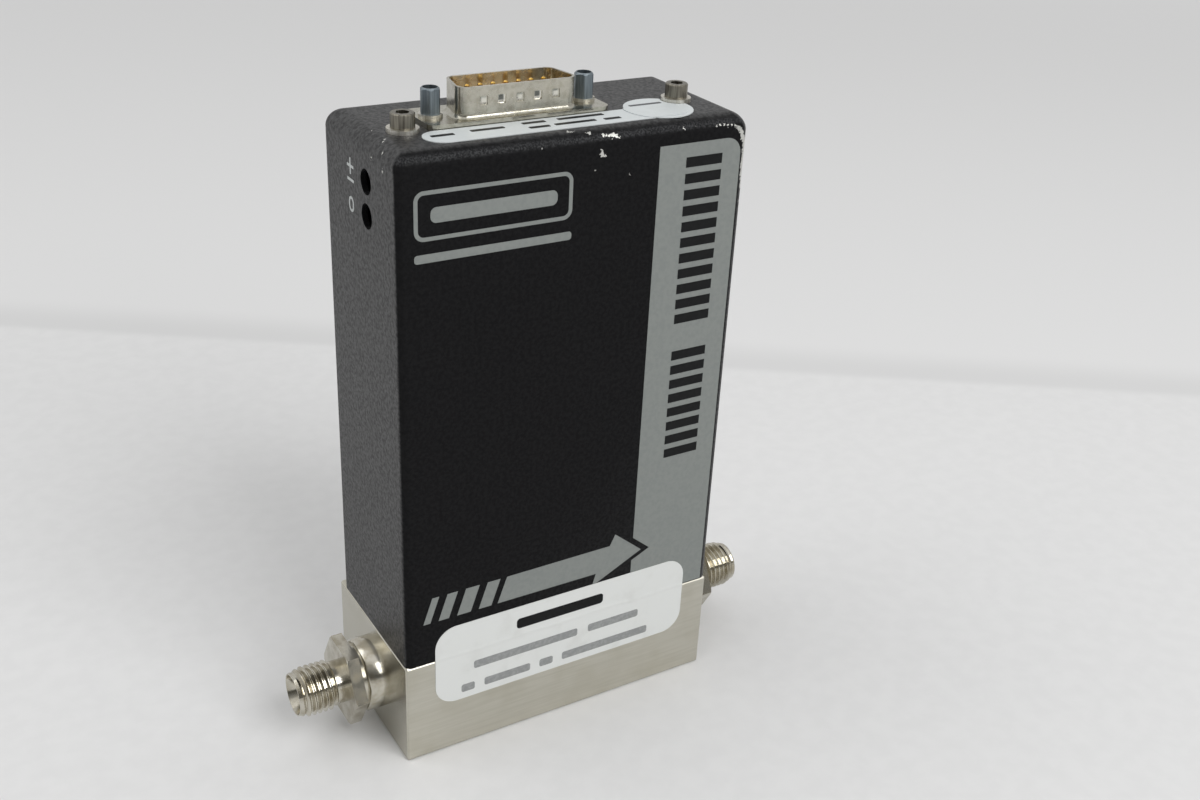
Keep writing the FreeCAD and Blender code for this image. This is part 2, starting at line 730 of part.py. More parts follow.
def circuit_board():
    """The upright board, notched for the connector's back."""
    body = block((-BOARD_END, BOARD_END), (BOARD_FRONT, BOARD_BACK), (BOARD_BOTTOM, BOARD_TOP))
    x, floor = notch()
    body = body.cut(block(x, (BOARD_FRONT, BOARD_BACK), (floor, BOARD_TOP)))
    for hole_x, hole_z in board_hole_spots():
        start = V(hole_x, BOARD_FRONT, hole_z)
        body = body.cut(rod(SMALL_HOLE_R, start, BACK * BOARD_THICKNESS))
    return body


def board_spacers():
    """The spacers between board and frame."""
    run = BACK * (WEB_FRONT - BOARD_BACK)
    spacers = []
    for x, z in board_hole_spots():
        start = V(x, BOARD_BACK, z)
        spacers.append(rod(SPACER_R, start, run).cut(rod(SMALL_HOLE_R, start, run)))
    return spacers


def board_screws():
    """Pan head screws through board and spacer into the frame."""
    reach = WEB_BACK - BOARD_FRONT
    width, depth = TRIM_SLOT
    face = BOARD_FRONT - PAN_HEAD_HEIGHT
    screws = []
    for x, z in board_hole_spots():
        start = V(x, BOARD_FRONT, z)
        outline = [
            (0, 0),
            (0, SPACER_R),
            (PAN_HEAD_RIM, SPACER_R),
            (PAN_HEAD_HEIGHT, SPACER_R * PAN_HEAD_CROWN),
            (PAN_HEAD_HEIGHT, 0),
        ]
        head = turned(outline, start, FRONT)
        shank = rod(SMALL_THREAD_R - THREAD_FIT, start, BACK * reach)
        slot = block(span(x, 2 * SPACER_R), (face, face + depth), span(z, width))
        screws.append(fused([head, shank]).cut(slot))
    return screws


def trimmer(z):
    """A multi-turn adjuster lying on the board, bored for its screw."""
    x = TRIM_HEAD_X + TRIM_HEAD_LENGTH
    y = (BOARD_FRONT - TRIMMER_DEPTH, BOARD_FRONT)
    body = block((x, x + TRIMMER_LENGTH), y, span(z, TRIMMER_WIDTH))
    bore_r = TRIM_SHANK_R + TURN_CLEARANCE
    depth = TRIM_SHANK_LENGTH + TURN_END_GAP
    return body.cut(rod(bore_r, V(x, ACCESS_Y, z), ALONG * depth))


def trim_screw(z):
    """The adjuster's slotted screw, reached through the hole in the wall."""
    tip = V(TRIM_HEAD_X - TURN_END_GAP, ACCESS_Y, z)
    head = rod(TRIM_HEAD_R, tip, ALONG * TRIM_HEAD_LENGTH)
    shank_run = ALONG * (TRIM_HEAD_LENGTH + TRIM_SHANK_LENGTH)
    body = fused([head, rod(TRIM_SHANK_R, tip, shank_run)])
    width, depth = TRIM_SLOT
    slot = block((tip.x, tip.x + depth), span(ACCESS_Y, 2 * TRIM_HEAD_R), span(z, width))
    return body.cut(slot)


def header_pin_spots():
    """The header's two rows of pins as (x, z) pairs."""
    first = CONNECTOR_X - (HEADER_POLES - 1) / 2 * HEADER_PITCH
    spots = []
    for i in range(HEADER_POLES):
        for side in (-1, 1):
            spots.append((first + i * HEADER_PITCH, HEADER_Z + side * HEADER_PITCH / 2))
    return spots


def ribbon_header():
    """The open box header that the connector's ribbon plugs into, on the board's front."""
    length = (HEADER_POLES - 1) * HEADER_PITCH + 2 * HEADER_END
    mouth = BOARD_FRONT - HEADER_DEPTH
    floor = BOARD_FRONT - HEADER_FLOOR
    body = block(span(CONNECTOR_X, length), (mouth, BOARD_FRONT), span(HEADER_Z, HEADER_DEPTH))
    inside_x = span(CONNECTOR_X, length - 2 * HEADER_WALL)
    inside_z = span(HEADER_Z, HEADER_DEPTH - 2 * HEADER_WALL)
    body = body.cut(block(inside_x, (mouth, floor), inside_z))
    low = HEADER_Z - HEADER_DEPTH / 2
    body = body.cut(block(span(CONNECTOR_X, HEADER_KEY), (mouth, floor), (low, HEADER_Z)))
    side = HEADER_PIN + 2 * INSERT_FIT
    for x, z in header_pin_spots():
        body = body.cut(block(span(x, side), (mouth, BOARD_FRONT), span(z, side)))
    return body


def header_pins():
    """The header's pins, square in section."""
    y = (BOARD_FRONT - HEADER_DEPTH + HEADER_PIN_SHY, BOARD_FRONT)
    return [block(span(x, HEADER_PIN), y, span(z, HEADER_PIN)) for x, z in header_pin_spots()]


def ic_package(x, z):
    """A dual in-line chip with its legs, standing on the board's front."""
    length, thickness, width = CHIP
    under = BOARD_FRONT - CHIP_STANDOFF
    pieces = [block(span(x, length), (under - thickness, under), span(z, width))]
    elbow = under - thickness / 2
    for i in range(CHIP_LEGS):
        leg_x = span(x + (i - (CHIP_LEGS - 1) / 2) * HEADER_PITCH, CHIP_LEG_WIDTH)
        for side in (-1, 1):
            leg_z = z + side * CHIP_ROW_PITCH / 2
            pieces.append(block(leg_x, span(elbow, CHIP_LEG_THICKNESS), sorted((z, leg_z))))
            pieces.append(block(leg_x, (elbow, BOARD_FRONT), span(leg_z, CHIP_LEG_THICKNESS)))
    return fused(pieces)


def ic_packages():
    """Four chips in two columns, between the capacitors and the resistors."""
    middle = (BOARD_BOTTOM + CAPACITOR_MARGIN + CAPACITOR_R + RESISTOR_TOP - RESISTOR_LENGTH) / 2
    across, apart = CHIP_SPACING[0] / 2, CHIP_SPACING[1] / 2
    places = [(sx * across, middle + sz * apart) for sx in (-1, 1) for sz in (-1, 1)]
    return [ic_package(x, z) for x, z in places]


def capacitors():
    """The round capacitors along the board's foot."""
    z = BOARD_BOTTOM + CAPACITOR_MARGIN
    cans = []
    for i in range(CAPACITOR_COUNT):
        x = (i - (CAPACITOR_COUNT - 1) / 2) * CAPACITOR_PITCH
        can = rod(CAPACITOR_R, V(x, BOARD_FRONT, z), FRONT * CAPACITOR_LENGTH)
        rim = [e for e in can.Edges if e.BoundBox.YMax < BOARD_FRONT - CAPACITOR_LENGTH / 2]
        cans.append(can.makeFillet(CAPACITOR_EDGE, rim))
    return cans


def resistors():
    """The row of resistors under the header, lying upright against the board's front."""
    pieces = []
    for i in range(RESISTOR_COUNT):
        x = CONNECTOR_X + (i - (RESISTOR_COUNT - 1) / 2) * RESISTOR_PITCH
        spot = V(x, BOARD_FRONT - RESISTOR_R, 0)
        pieces.append(upright(RESISTOR_R, spot, RESISTOR_TOP - RESISTOR_LENGTH, RESISTOR_TOP))
    return pieces


def d_bar(width, depth, low, high, corner):
    """A bar with the D connector's outline, its wide side to the front."""
    slant = depth * math.tan(math.radians(SHELL_SLANT_DEG))
    front, back = CONNECTOR_Y - depth / 2, CONNECTOR_Y + depth / 2
    half = width / 2
    corners = [
        V(CONNECTOR_X - half, front, low),
        V(CONNECTOR_X + half, front, low),
        V(CONNECTOR_X + half - slant, back, low),
        V(CONNECTOR_X - half + slant, back, low),
        V(CONNECTOR_X - half, front, low),
    ]
    bar = Part.Face(Part.makePolygon(corners)).extrude(V(0, 0, high - low))
    return bar.makeFillet(corner, uprights(bar))


def d_inset(gap):
    """Width and depth of the D outline moved in by a gap all round."""
    slant = math.radians(SHELL_SLANT_DEG)
    width = SHELL_WIDTH - 2 * gap * (math.tan(slant) + 1 / math.cos(slant))
    return width, SHELL_DEPTH - 2 * gap


def flange_plate(low):
    """One flange plate of the connector, before its jack holes."""
    x, y = span(CONNECTOR_X, FLANGE_WIDTH), span(CONNECTOR_Y, FLANGE_DEPTH)
    return rounded_block(x, y, (low, low + FLANGE_PLATE), FLANGE_CORNER)


def drilled_for_jacks(shape):
    """Cut the two jack holes through a shape."""
    for spot in JACK_SPOTS:
        shape = shape.cut(upright(SMALL_HOLE_R, spot, UNDER_ROOF - NUT_LENGTH, RIM))
    return shape


def connector_shell():
    """The plated front shell: flange, D collar with a rounded foot, five pressed dimples."""
    collar = d_bar(SHELL_WIDTH, SHELL_DEPTH, ROOF + FLANGE_PLATE, RIM, SHELL_CORNER)
    body = fused([flange_plate(ROOF + FLANGE_PLATE), collar])
    foot = []
    for edge in edges_at(body, FLANGE_TOP):
        box = edge.BoundBox
        off_x = max(abs(box.XMin - CONNECTOR_X), abs(box.XMax - CONNECTOR_X))
        off_y = max(abs(box.YMin - CONNECTOR_Y), abs(box.YMax - CONNECTOR_Y))
        if off_x < SHELL_WIDTH / 2 + SEAL_FIT and off_y < SHELL_DEPTH / 2 + SEAL_FIT:
            foot.append(edge)
    body = body.makeFillet(SHELL_FOOT, foot)
    width, depth = d_inset(SHELL_WALL)
    body = body.cut(d_bar(width, depth, ROOF, RIM + SHELL_WALL, SHELL_CORNER - SHELL_WALL))
    front = CONNECTOR_Y - SHELL_DEPTH / 2
    z = FLANGE_TOP + DIMPLE_RISE
    for i in range(DIMPLE_COUNT):
        x = CONNECTOR_X + (i - (DIMPLE_COUNT - 1) / 2) * DIMPLE_PITCH
        floor = front + DIMPLE_DEPTHS[i % 2]
        body = body.fuse(block(span(x, DIMPLE), (floor, floor + SHELL_WALL), span(z, DIMPLE)))
        body = body.cut(block(span(x, DIMPLE), (front, floor), span(z, DIMPLE)))
    return drilled_for_jacks(body)


def connector_rear_shell():
    """The back shell: its own flange and a cup open at both ends."""
    x, y = span(CONNECTOR_X, REAR_WIDTH), span(CONNECTOR_Y, REAR_DEPTH)
    cup = rounded_block(x, y, (REAR_BOTTOM, ROOF + FLANGE_PLATE), REAR_CORNER)
    body = fused([flange_plate(ROOF), cup])
    x = span(CONNECTOR_X, REAR_WIDTH - 2 * SHELL_WALL)
    y = span(CONNECTOR_Y, REAR_DEPTH - 2 * SHELL_WALL)
    hollow = rounded_block(x, y, (REAR_BOTTOM, ROOF + FLANGE_PLATE), REAR_CORNER - SHELL_WALL)
    return drilled_for_jacks(body.cut(hollow))


def pin_spots():
    """The pins' places: eight in the front row, seven in the back."""
    spots = []
    for count, side in ((FRONT_ROW_COUNT, -1), (BACK_ROW_COUNT, 1)):
        for i in range(count):
            x = CONNECTOR_X + (i - (count - 1) / 2) * PIN_PITCH
            spots.append(V(x, CONNECTOR_Y + side * ROW_PITCH / 2, 0))
    return spots


def connector_insulator():
    """The moulded insert that holds the pins, front and back halves in one."""
    width, depth = d_inset(SHELL_WALL + INSERT_FIT)
    seam = ROOF + FLANGE_PLATE
    corner = SHELL_CORNER - SHELL_WALL
    front = d_bar(width, depth, seam, FLANGE_TOP + INSERT_RISE, corner)
    gap = SHELL_WALL + INSERT_FIT
    x = span(CONNECTOR_X, REAR_WIDTH - 2 * gap)
    y = span(CONNECTOR_Y, REAR_DEPTH - 2 * gap)
    back = rounded_block(x, y, (REAR_BOTTOM, seam), REAR_CORNER - SHELL_WALL)
    body = fused([front, back])
    for spot in pin_spots():
        body = body.cut(upright(PIN_R + INSERT_FIT, spot, REAR_BOTTOM, RIM))
    return body


def contact_pins():
    """The gold pins, each with a solder cup at its back end."""
    pins = []
    tip = RIM - PIN_SHY_OF_RIM
    bore_top = CUP_BOTTOM + CUP_BORE_DEPTH
    for spot in pin_spots():
        pin = upright(PIN_R, spot, REAR_BOTTOM, tip)
        pin = pin.makeChamfer(PIN_R / 2, edges_at(pin, tip))
        cup = upright(CUP_R, spot, CUP_BOTTOM, REAR_BOTTOM)
        cup = cup.cut(upright(PIN_R + INSERT_FIT, spot, CUP_BOTTOM, bore_top))
        side = 1 if spot.y > CONNECTOR_Y else -1
        y = sorted((spot.y, spot.y + side * CUP_R))
        mouth = block(span(spot.x, 2 * CUP_R), y, (CUP_BOTTOM, CUP_BOTTOM + CUP_LENGTH / 2))
        pins.append(fused([pin, cup.cut(mouth)]))
    return pins


def screwlocks():
    """The jack posts: a tapped hexagon with turned corners, and a stud below."""
    posts = []
    top = JACK_SEAT + JACK_LENGTH
    for spot in JACK_SPOTS:
        post = hex_bar(JACK_ACROSS, JACK_LENGTH, V(spot.x, spot.y, JACK_SEAT), UP, JACK_TURN_DEG)
        lathe = upright(JACK_R, spot, JACK_SEAT, top)
        lathe = lathe.makeChamfer(BASE_CHAMFER, edges_at(lathe, top))
        post = post.common(lathe)
        stud = upright(SMALL_THREAD_R - THREAD_FIT, spot, UNDER_ROOF - NUT_LENGTH, JACK_SEAT)
        post = fused([post, stud])
        posts.append(post.cut(upright(SMALL_THREAD_R, spot, top - JACK_TAP_DEPTH, top)))
    return posts


def lock_washers():
    """The split washers under the jack posts."""
    washers = []
    for spot in JACK_SPOTS:
        ring = upright(LOCK_WASHER_R, spot, FLANGE_TOP, JACK_SEAT)
        ring = ring.cut(upright(LOCK_WASHER_BORE_R, spot, FLANGE_TOP, JACK_SEAT))
        x, y = (spot.x, spot.x + 2 * LOCK_WASHER_R), span(spot.y, LOCK_WASHER_GAP)
        gap = block(x, y, (FLANGE_TOP, JACK_SEAT))
        gap.rotate(spot, UP, LOCK_GAP_ANGLE)
        washers.append(ring.cut(gap))
    return washers


def screwlock_nuts():
    """The nuts under the roof that hold the jack posts."""
    nuts = []
    low = UNDER_ROOF - NUT_LENGTH
    for spot in JACK_SPOTS:
        nut = hex_bar(NUT_ACROSS, NUT_LENGTH, V(spot.x, spot.y, low), UP, HEX_FLAT_UP_DEG)
        nuts.append(nut.cut(upright(SMALL_THREAD_R, spot, low, UNDER_ROOF)))
    return nuts


def cover():
    """The drawn can with its connector cut-out, screw holes and two access holes."""
    outer = can_form(COVER_LENGTH, COVER_DEPTH, COVER_HEIGHT, COVER_CORNER, COVER_ROOF_EDGE)
    inner = can_form(
        COVER_LENGTH - 2 * COVER_WALL,
        COVER_DEPTH - 2 * COVER_WALL,
        COVER_HEIGHT - COVER_WALL,
        COVER_CORNER - COVER_WALL,
        COVER_ROOF_EDGE - COVER_WALL,
    )
    body = outer.cut(inner)
    body.translate(V(0, COVER_Y, BASE_HEIGHT))
    x = span(CONNECTOR_X, REAR_WIDTH + 2 * CUTOUT_CLEARANCE)
    y = span(CONNECTOR_Y, REAR_DEPTH + 2 * CUTOUT_CLEARANCE)
    body = body.cut(rounded_block(x, y, (UNDER_ROOF, ROOF), REAR_CORNER))
    for spot in CAP_SPOTS + JACK_SPOTS:
        body = body.cut(upright(SMALL_HOLE_R, spot, UNDER_ROOF, ROOF))
    for z in (GAIN_Z, ZERO_Z):
        wall = V(-COVER_LENGTH / 2, ACCESS_Y, z)
        body = body.cut(rod(ACCESS_HOLE_R, wall, ALONG * COVER_WALL))
    return body


def cover_screws():
    """The two screws that hold the cover down to the frame."""
    return [cap_screw(spot, CAP_SEAT, CAP_SHANK_LENGTH) for spot in CAP_SPOTS]


def cover_washers():
    """The flat washers under the cover screws."""
    washers = []
    for spot in CAP_SPOTS:
        ring = upright(WASHER_R, spot, ROOF, CAP_SEAT)
        washers.append(ring.cut(upright(SMALL_HOLE_R, spot, ROOF, CAP_SEAT)))
    return washers


def label_room(shape):
    """Cut a roof sticker clear of the cover screws' washers and the connector's flange."""
    for spot in CAP_SPOTS:
        shape = shape.cut(upright(WASHER_R + LABEL_THICKNESS, spot, ROOF, CAP_SEAT))
    x = span(CONNECTOR_X, FLANGE_WIDTH + 2 * LABEL_THICKNESS)
    y = span(CONNECTOR_Y, FLANGE_DEPTH + 2 * LABEL_THICKNESS)
    return shape.cut(block(x, y, (ROOF, CAP_SEAT)))


def round_label():
    """The round sticker on the roof."""
    return label_room(upright(ROUND_LABEL_R, ROUND_LABEL_SPOT, ROOF, ROOF + LABEL_THICKNESS))


def pill(low, high):
    """The long sticker's outline between two heights."""
    end_r = SERIAL_LABEL_WIDTH / 2
    left = -COVER_LENGTH / 2 + SERIAL_LABEL_LEFT_INSET
    right = COVER_LENGTH / 2 - SERIAL_LABEL_RIGHT_INSET
    x = (left + end_r, right - end_r)
    body = block(x, span(SERIAL_LABEL_Y, SERIAL_LABEL_WIDTH), (low, high))
    ends = [upright(end_r, V(end_x, SERIAL_LABEL_Y, 0), low, high) for end_x in x]
    return fused([body] + ends)


def serial_label():
    """The long sticker, stepping up where it laps the round one."""
    spot = ROUND_LABEL_SPOT
    step = ROOF + LABEL_THICKNESS
    lap = LABEL_THICKNESS
    low = pill(ROOF, step).cut(upright(ROUND_LABEL_R + lap, spot, ROOF, step))
    high = pill(step, step + lap).common(upright(ROUND_LABEL_R + 3 * lap, spot, step, step + lap))
    return label_room(low.fuse(high))


def seal_label():
    """The sticker over the joint between cover and block."""
    x, y = span(0, SEAL_LABEL_WIDTH), (0, SEAL_LABEL_HEIGHT)
    sheet = rounded_block(x, y, (0, LABEL_THICKNESS), SEAL_LABEL_CORNER)
    sheet.rotate(V(0, 0, 0), ALONG, 90)
    sheet.translate(V(0, FACE_Y, BASE_HEIGHT - SEAL_LABEL_BELOW_JOINT))
    return sheet


def sensor_screws():
    """The four screws through the sensor's foot."""
    reach = SENSOR_FLANGE[2] + SENSOR_SCREW_BITE
    return [cap_screw(spot, SHELF, reach) for spot in sensor_screw_spots()]


def frame_screws():
    """The screw through each foot of the frame."""
    seat = BASE_HEIGHT + SHEET
    return [cap_screw(spot, seat, SHEET + SENSOR_SCREW_BITE) for spot in foot_screw_spots()]


def main():
    """Build every sub-part and write it out."""
    os.makedirs("parts", exist_ok=True)
    for side, word in ((-1, "inlet"), (1, "outlet")):
        save(word + "_fitting", fitting(side))
        save(word + "_o_ring", port_seal(side))
    for word, z in (("gain", GAIN_Z), ("zero", ZERO_Z)):
        save(word + "_trimmer", trimmer(z))
        save(word + "_trim_screw", trim_screw(z))
    single = [
        base_block,
        bypass_element,
        bypass_retainer,
        sensor_flange,
        sensor_tube,
        sensor_housing,
        lead_block,
        chassis_frame,
        circuit_board,
        ribbon_header,
        connector_shell,
        connector_rear_shell,
        connector_insulator,
        cover,
        round_label,
        serial_label,
        seal_label,
    ]
    for make in single:
        save(make.__name__, make())
    groups = [
        sensor_seals,
        sensor_screws,
        sensor_windings,
        lead_pins,
        clinch_nuts,
        frame_screws,
        board_spacers,
        board_screws,
        header_pins,
        ic_packages,
        capacitors,
        resistors,
        contact_pins,
        screwlocks,
        lock_washers,
        screwlock_nuts,
        cover_screws,
        cover_washers,
    ]
    for make in groups:
        save_group(make.__name__, make())


main()
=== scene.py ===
import bmesh
import bpy
import math
from mathutils import Matrix, Vector


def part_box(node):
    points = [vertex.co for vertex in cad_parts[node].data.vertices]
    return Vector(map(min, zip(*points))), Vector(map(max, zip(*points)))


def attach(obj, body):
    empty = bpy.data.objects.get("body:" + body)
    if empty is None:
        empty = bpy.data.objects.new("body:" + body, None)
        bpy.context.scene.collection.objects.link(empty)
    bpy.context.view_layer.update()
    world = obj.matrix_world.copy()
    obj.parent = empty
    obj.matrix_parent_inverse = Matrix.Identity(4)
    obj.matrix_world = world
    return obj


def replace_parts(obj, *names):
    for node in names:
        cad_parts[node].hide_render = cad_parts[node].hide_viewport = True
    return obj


MM = 0.001

# Faces that carry print, in millimetres in the part's own frame.
FACE_Y = -18.75
LEFT_X = -38.4
ROOF_Z = 137.0
LABEL = 0.15
INK = 0.04
INK_SEAT = 0.02

# Graduations on the grey band.
RUNG_PITCH = 3.4
RUNG_HEIGHT = 2.1

# The rubbed line along the front edge of the roof, partly wear and partly a painted highlight: where it
# starts and ends in height, each over a little way, and how far back it reaches.
RUB_AND_SHEEN_FOOT = (134.7, 135.5)
RUB_AND_SHEEN_TOP = (135.7, 136.6)
RUB_AND_SHEEN_BACK = (-17.2, -16.2)

# The crease in the seal at the joint of cover and block: where it rises and where it falls again.
CREASE_FOOT = (24.9, 25.6)
CREASE_TOP = (25.6, 26.5)

# Tube fitting, measured outwards from the end of the flow block.
BLOCK_END = 38.5
PORT_Y = -1.15
PORT_Z = 13.0
THREAD_START = 10.5
THREAD_TIP = 19.2
THREAD_CREST = 5.55
THREAD_ROOT = 4.78
THREAD_PITCH = 1.27
THREAD_STEPS = 56
NECK_R = 4.8
NOSE_R = 4.75
NOSE_LENGTH = 2.4

# Points closer than this are merged, in a copy of a solid and in a thread, or snap to a plane of cut.
SOLID_MERGE = 0.0005
THREAD_MERGE = 0.002
CUT_SNAP = 0.0001

# The plain nose of the solid: faces this far past the neck, within this depth of the nose's radius,
# that point along the axis by less than this.
NOSE_GAP = 0.01
NOSE_SKIN = 0.05
ENDWISE = 0.9

# The connector's shell: its middle, a little past its inner walls, and just behind its front face.
SHELL_X = -6.9
SHELL_Y = -0.95
SHELL_INNER_X = 10.0
SHELL_INNER_Y = 4.4
SHELL_FRONT = (-4.9, -4.7)

# Pressed dimples along the front of the connector's shell.
DIMPLE_X = SHELL_X
DIMPLE_Z = 141.3
DIMPLE_PITCH = 3.88
DIMPLE_COUNT = 5

# The table in metres: its half width, the way to the wall, where the painted shade line at the wall's foot
# and the wall's own tone come in, and where the table far out takes the tone of the room.
TABLE_HALF = 4.0
TO_WALL = (0.545, 0.839, 0.0)
WALL_FOOT = (0.170, 0.176)
WALL_FACE = (0.178, 0.200)
ROOM_TONE = (0.45, 1.6)

# The camera in metres and radians, and its lens as a focal length in the picture's own pixels.
CAMERA_SPOT = (-0.129177, -0.233977, 0.20959)
YAW = 0.5619
PITCH = 0.4733
ROLL = 0.0522
FOCAL_PIXELS = 1369.1
PICTURE_WIDTH = 1200
SENSOR_WIDTH = 36.0
NEAREST_SEEN = 0.01

# What the lamps aim at, and the light from the room: its strength, the way to its pale side and how
# that fades, and the pale band low down all round.
MIDDLE = (0.0, 0.0, 0.06)
ROOM_STRENGTH = 0.76
PALE_WAY = (0.2, 0.75, 0.6)
PALE_FADE = (-0.6, 0.5)
LOW_BAND = (0.1, 0.22)

SMOOTH = "SMOOTHSTEP"

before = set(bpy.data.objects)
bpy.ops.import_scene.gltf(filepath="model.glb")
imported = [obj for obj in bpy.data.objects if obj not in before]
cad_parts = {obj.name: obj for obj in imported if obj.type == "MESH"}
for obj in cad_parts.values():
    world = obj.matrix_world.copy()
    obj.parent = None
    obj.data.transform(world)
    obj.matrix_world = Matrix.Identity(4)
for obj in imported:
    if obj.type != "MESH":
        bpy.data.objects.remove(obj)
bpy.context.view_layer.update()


def linear(colour):
    """An sRGB hex colour as linear red, green, blue and alpha."""
    values = []
    for i in (0, 2, 4):
        part = int(colour[i:i + 2], 16) / 255
        values.append(part / 12.92 if part <= 0.04045 else ((part + 0.055) / 1.055) ** 2.4)
    return (*values, 1.0)


def connect(material, node, inputs):
    """Give a node its inputs, each a plain value, a socket or another node's own result."""
    for name, value in inputs.items():
        if isinstance(value, bpy.types.Node):
            value = next(result for result in value.outputs if result.enabled)
        if isinstance(value, bpy.types.NodeSocket):
            material.node_tree.links.new(value, node.inputs[name])
        else:
            node.inputs[name].default_value = value


def add(material, kind, inputs=None, **settings):
    """Add a node to a material with its settings and its inputs."""
    node = material.node_tree.nodes.new(kind)
    for name, value in settings.items():
        setattr(node, name, value)
    connect(material, node, inputs or {})
    return node


def finish(name, colour, metallic, roughness, **more):
    """A new material with its shader set to a finish's plain values."""
    material = bpy.data.materials.new(name)
    material.use_nodes = True
    shader = material.node_tree.nodes["Principled BSDF"]
    plain = {"Base Color": linear(colour), "Metallic": metallic, "Roughness": roughness}
    connect(material, shader, {**plain, **more})
    return material, shader


def mottled(name, colour, other, metallic, roughness, grain_mm, detail, depth_mm, **more):
    """A finish of two near tones in soft patches, with a relief that follows them."""
    material, shader = finish(name, colour, metallic, roughness, **more)
    place = add(material, "ShaderNodeTexCoord").outputs["Object"]
    patches = {"Vector": place, "Scale": 1 / (grain_mm * MM), "Detail": detail}
    patches = add(material, "ShaderNodeTexNoise", patches)
    share = add(material, "ShaderNodeMapRange", {0: patches, 1: 0.35, 2: 0.7}, interpolation_type=SMOOTH)
    tone = add(material, "ShaderNodeMix", {0: share, 6: linear(colour), 7: linear(other)}, data_type="RGBA")
    relief = add(material, "ShaderNodeBump", {"Height": patches, "Distance": depth_mm * MM})
    connect(material, shader, {"Base Color": tone, "Normal": relief})
    return material


# Chips in the paint: x, y, z and radius in millimetres.
CHIPS = [
    (-38.4, -7.85, 133.4, 0.28), (-37.84, -11.55, 135.4, 0.30), (-38.4, -12.9, 132.6, 0.26),
    (-35.9, -2.1, 136.85, 0.26), (-35.9, -8.3, 136.86, 0.34), (-36.4, -8.9, 136.7, 0.24),
    (-2.4, -16.3, 136.82, 0.32), (-1.7, -16.4, 136.8, 0.30), (-1.1, -16.4, 136.8, 0.20),
    (1.3, -17.1, 136.45, 0.22), (1.8, -17.3, 136.35, 0.40), (4.5, -17.85, 135.85, 0.30),
    (5.2, -17.85, 135.8, 0.34), (5.9, -17.95, 135.7, 0.34), (6.6, -17.95, 135.7, 0.52),
    (7.3, -18.1, 135.5, 0.36), (7.9, -18.3, 135.2, 0.26), (3.8, -18.7, 133.0, 0.34),
    (4.1, -18.75, 132.4, 0.52), (4.6, -18.75, 132.0, 0.30), (-9.0, -18.45, 134.9, 0.17),
    (2.5, -18.75, 129.3, 0.24), (10.4, -18.75, 127.8, 0.16), (22.7, -18.3, 135.2, 0.22),
    (25.5, -18.0, 135.6, 0.16), (30.6, -18.35, 135.1, 0.26), (31.5, -18.3, 135.2, 0.30),
    (32.4, -18.35, 135.1, 0.28), (33.3, -18.4, 135.0, 0.32), (34.2, -18.45, 134.9, 0.30),
    (35.1, -18.5, 134.7, 0.34), (35.7, -18.5, 134.3, 0.40), (36.2, -18.55, 133.8, 0.50),
    (36.7, -18.6, 133.1, 0.60), (37.1, -18.6, 132.3, 0.62), (37.5, -18.5, 131.4, 0.60),
    (37.7, -18.4, 130.5, 0.72), (37.8, -18.35, 129.6, 0.70), (37.8, -18.35, 128.7, 0.74),
    (37.8, -18.3, 127.8, 0.68), (37.85, -18.3, 126.9, 0.72), (37.85, -18.3, 126.0, 0.74),
    (37.85, -18.3, 125.1, 0.70), (37.85, -18.3, 124.2, 0.64), (37.8, -18.35, 123.3, 0.56),
    (37.8, -18.35, 122.5, 0.48), (37.8, -18.35, 121.7, 0.36), (37.8, -18.35, 118.6, 0.30),
]


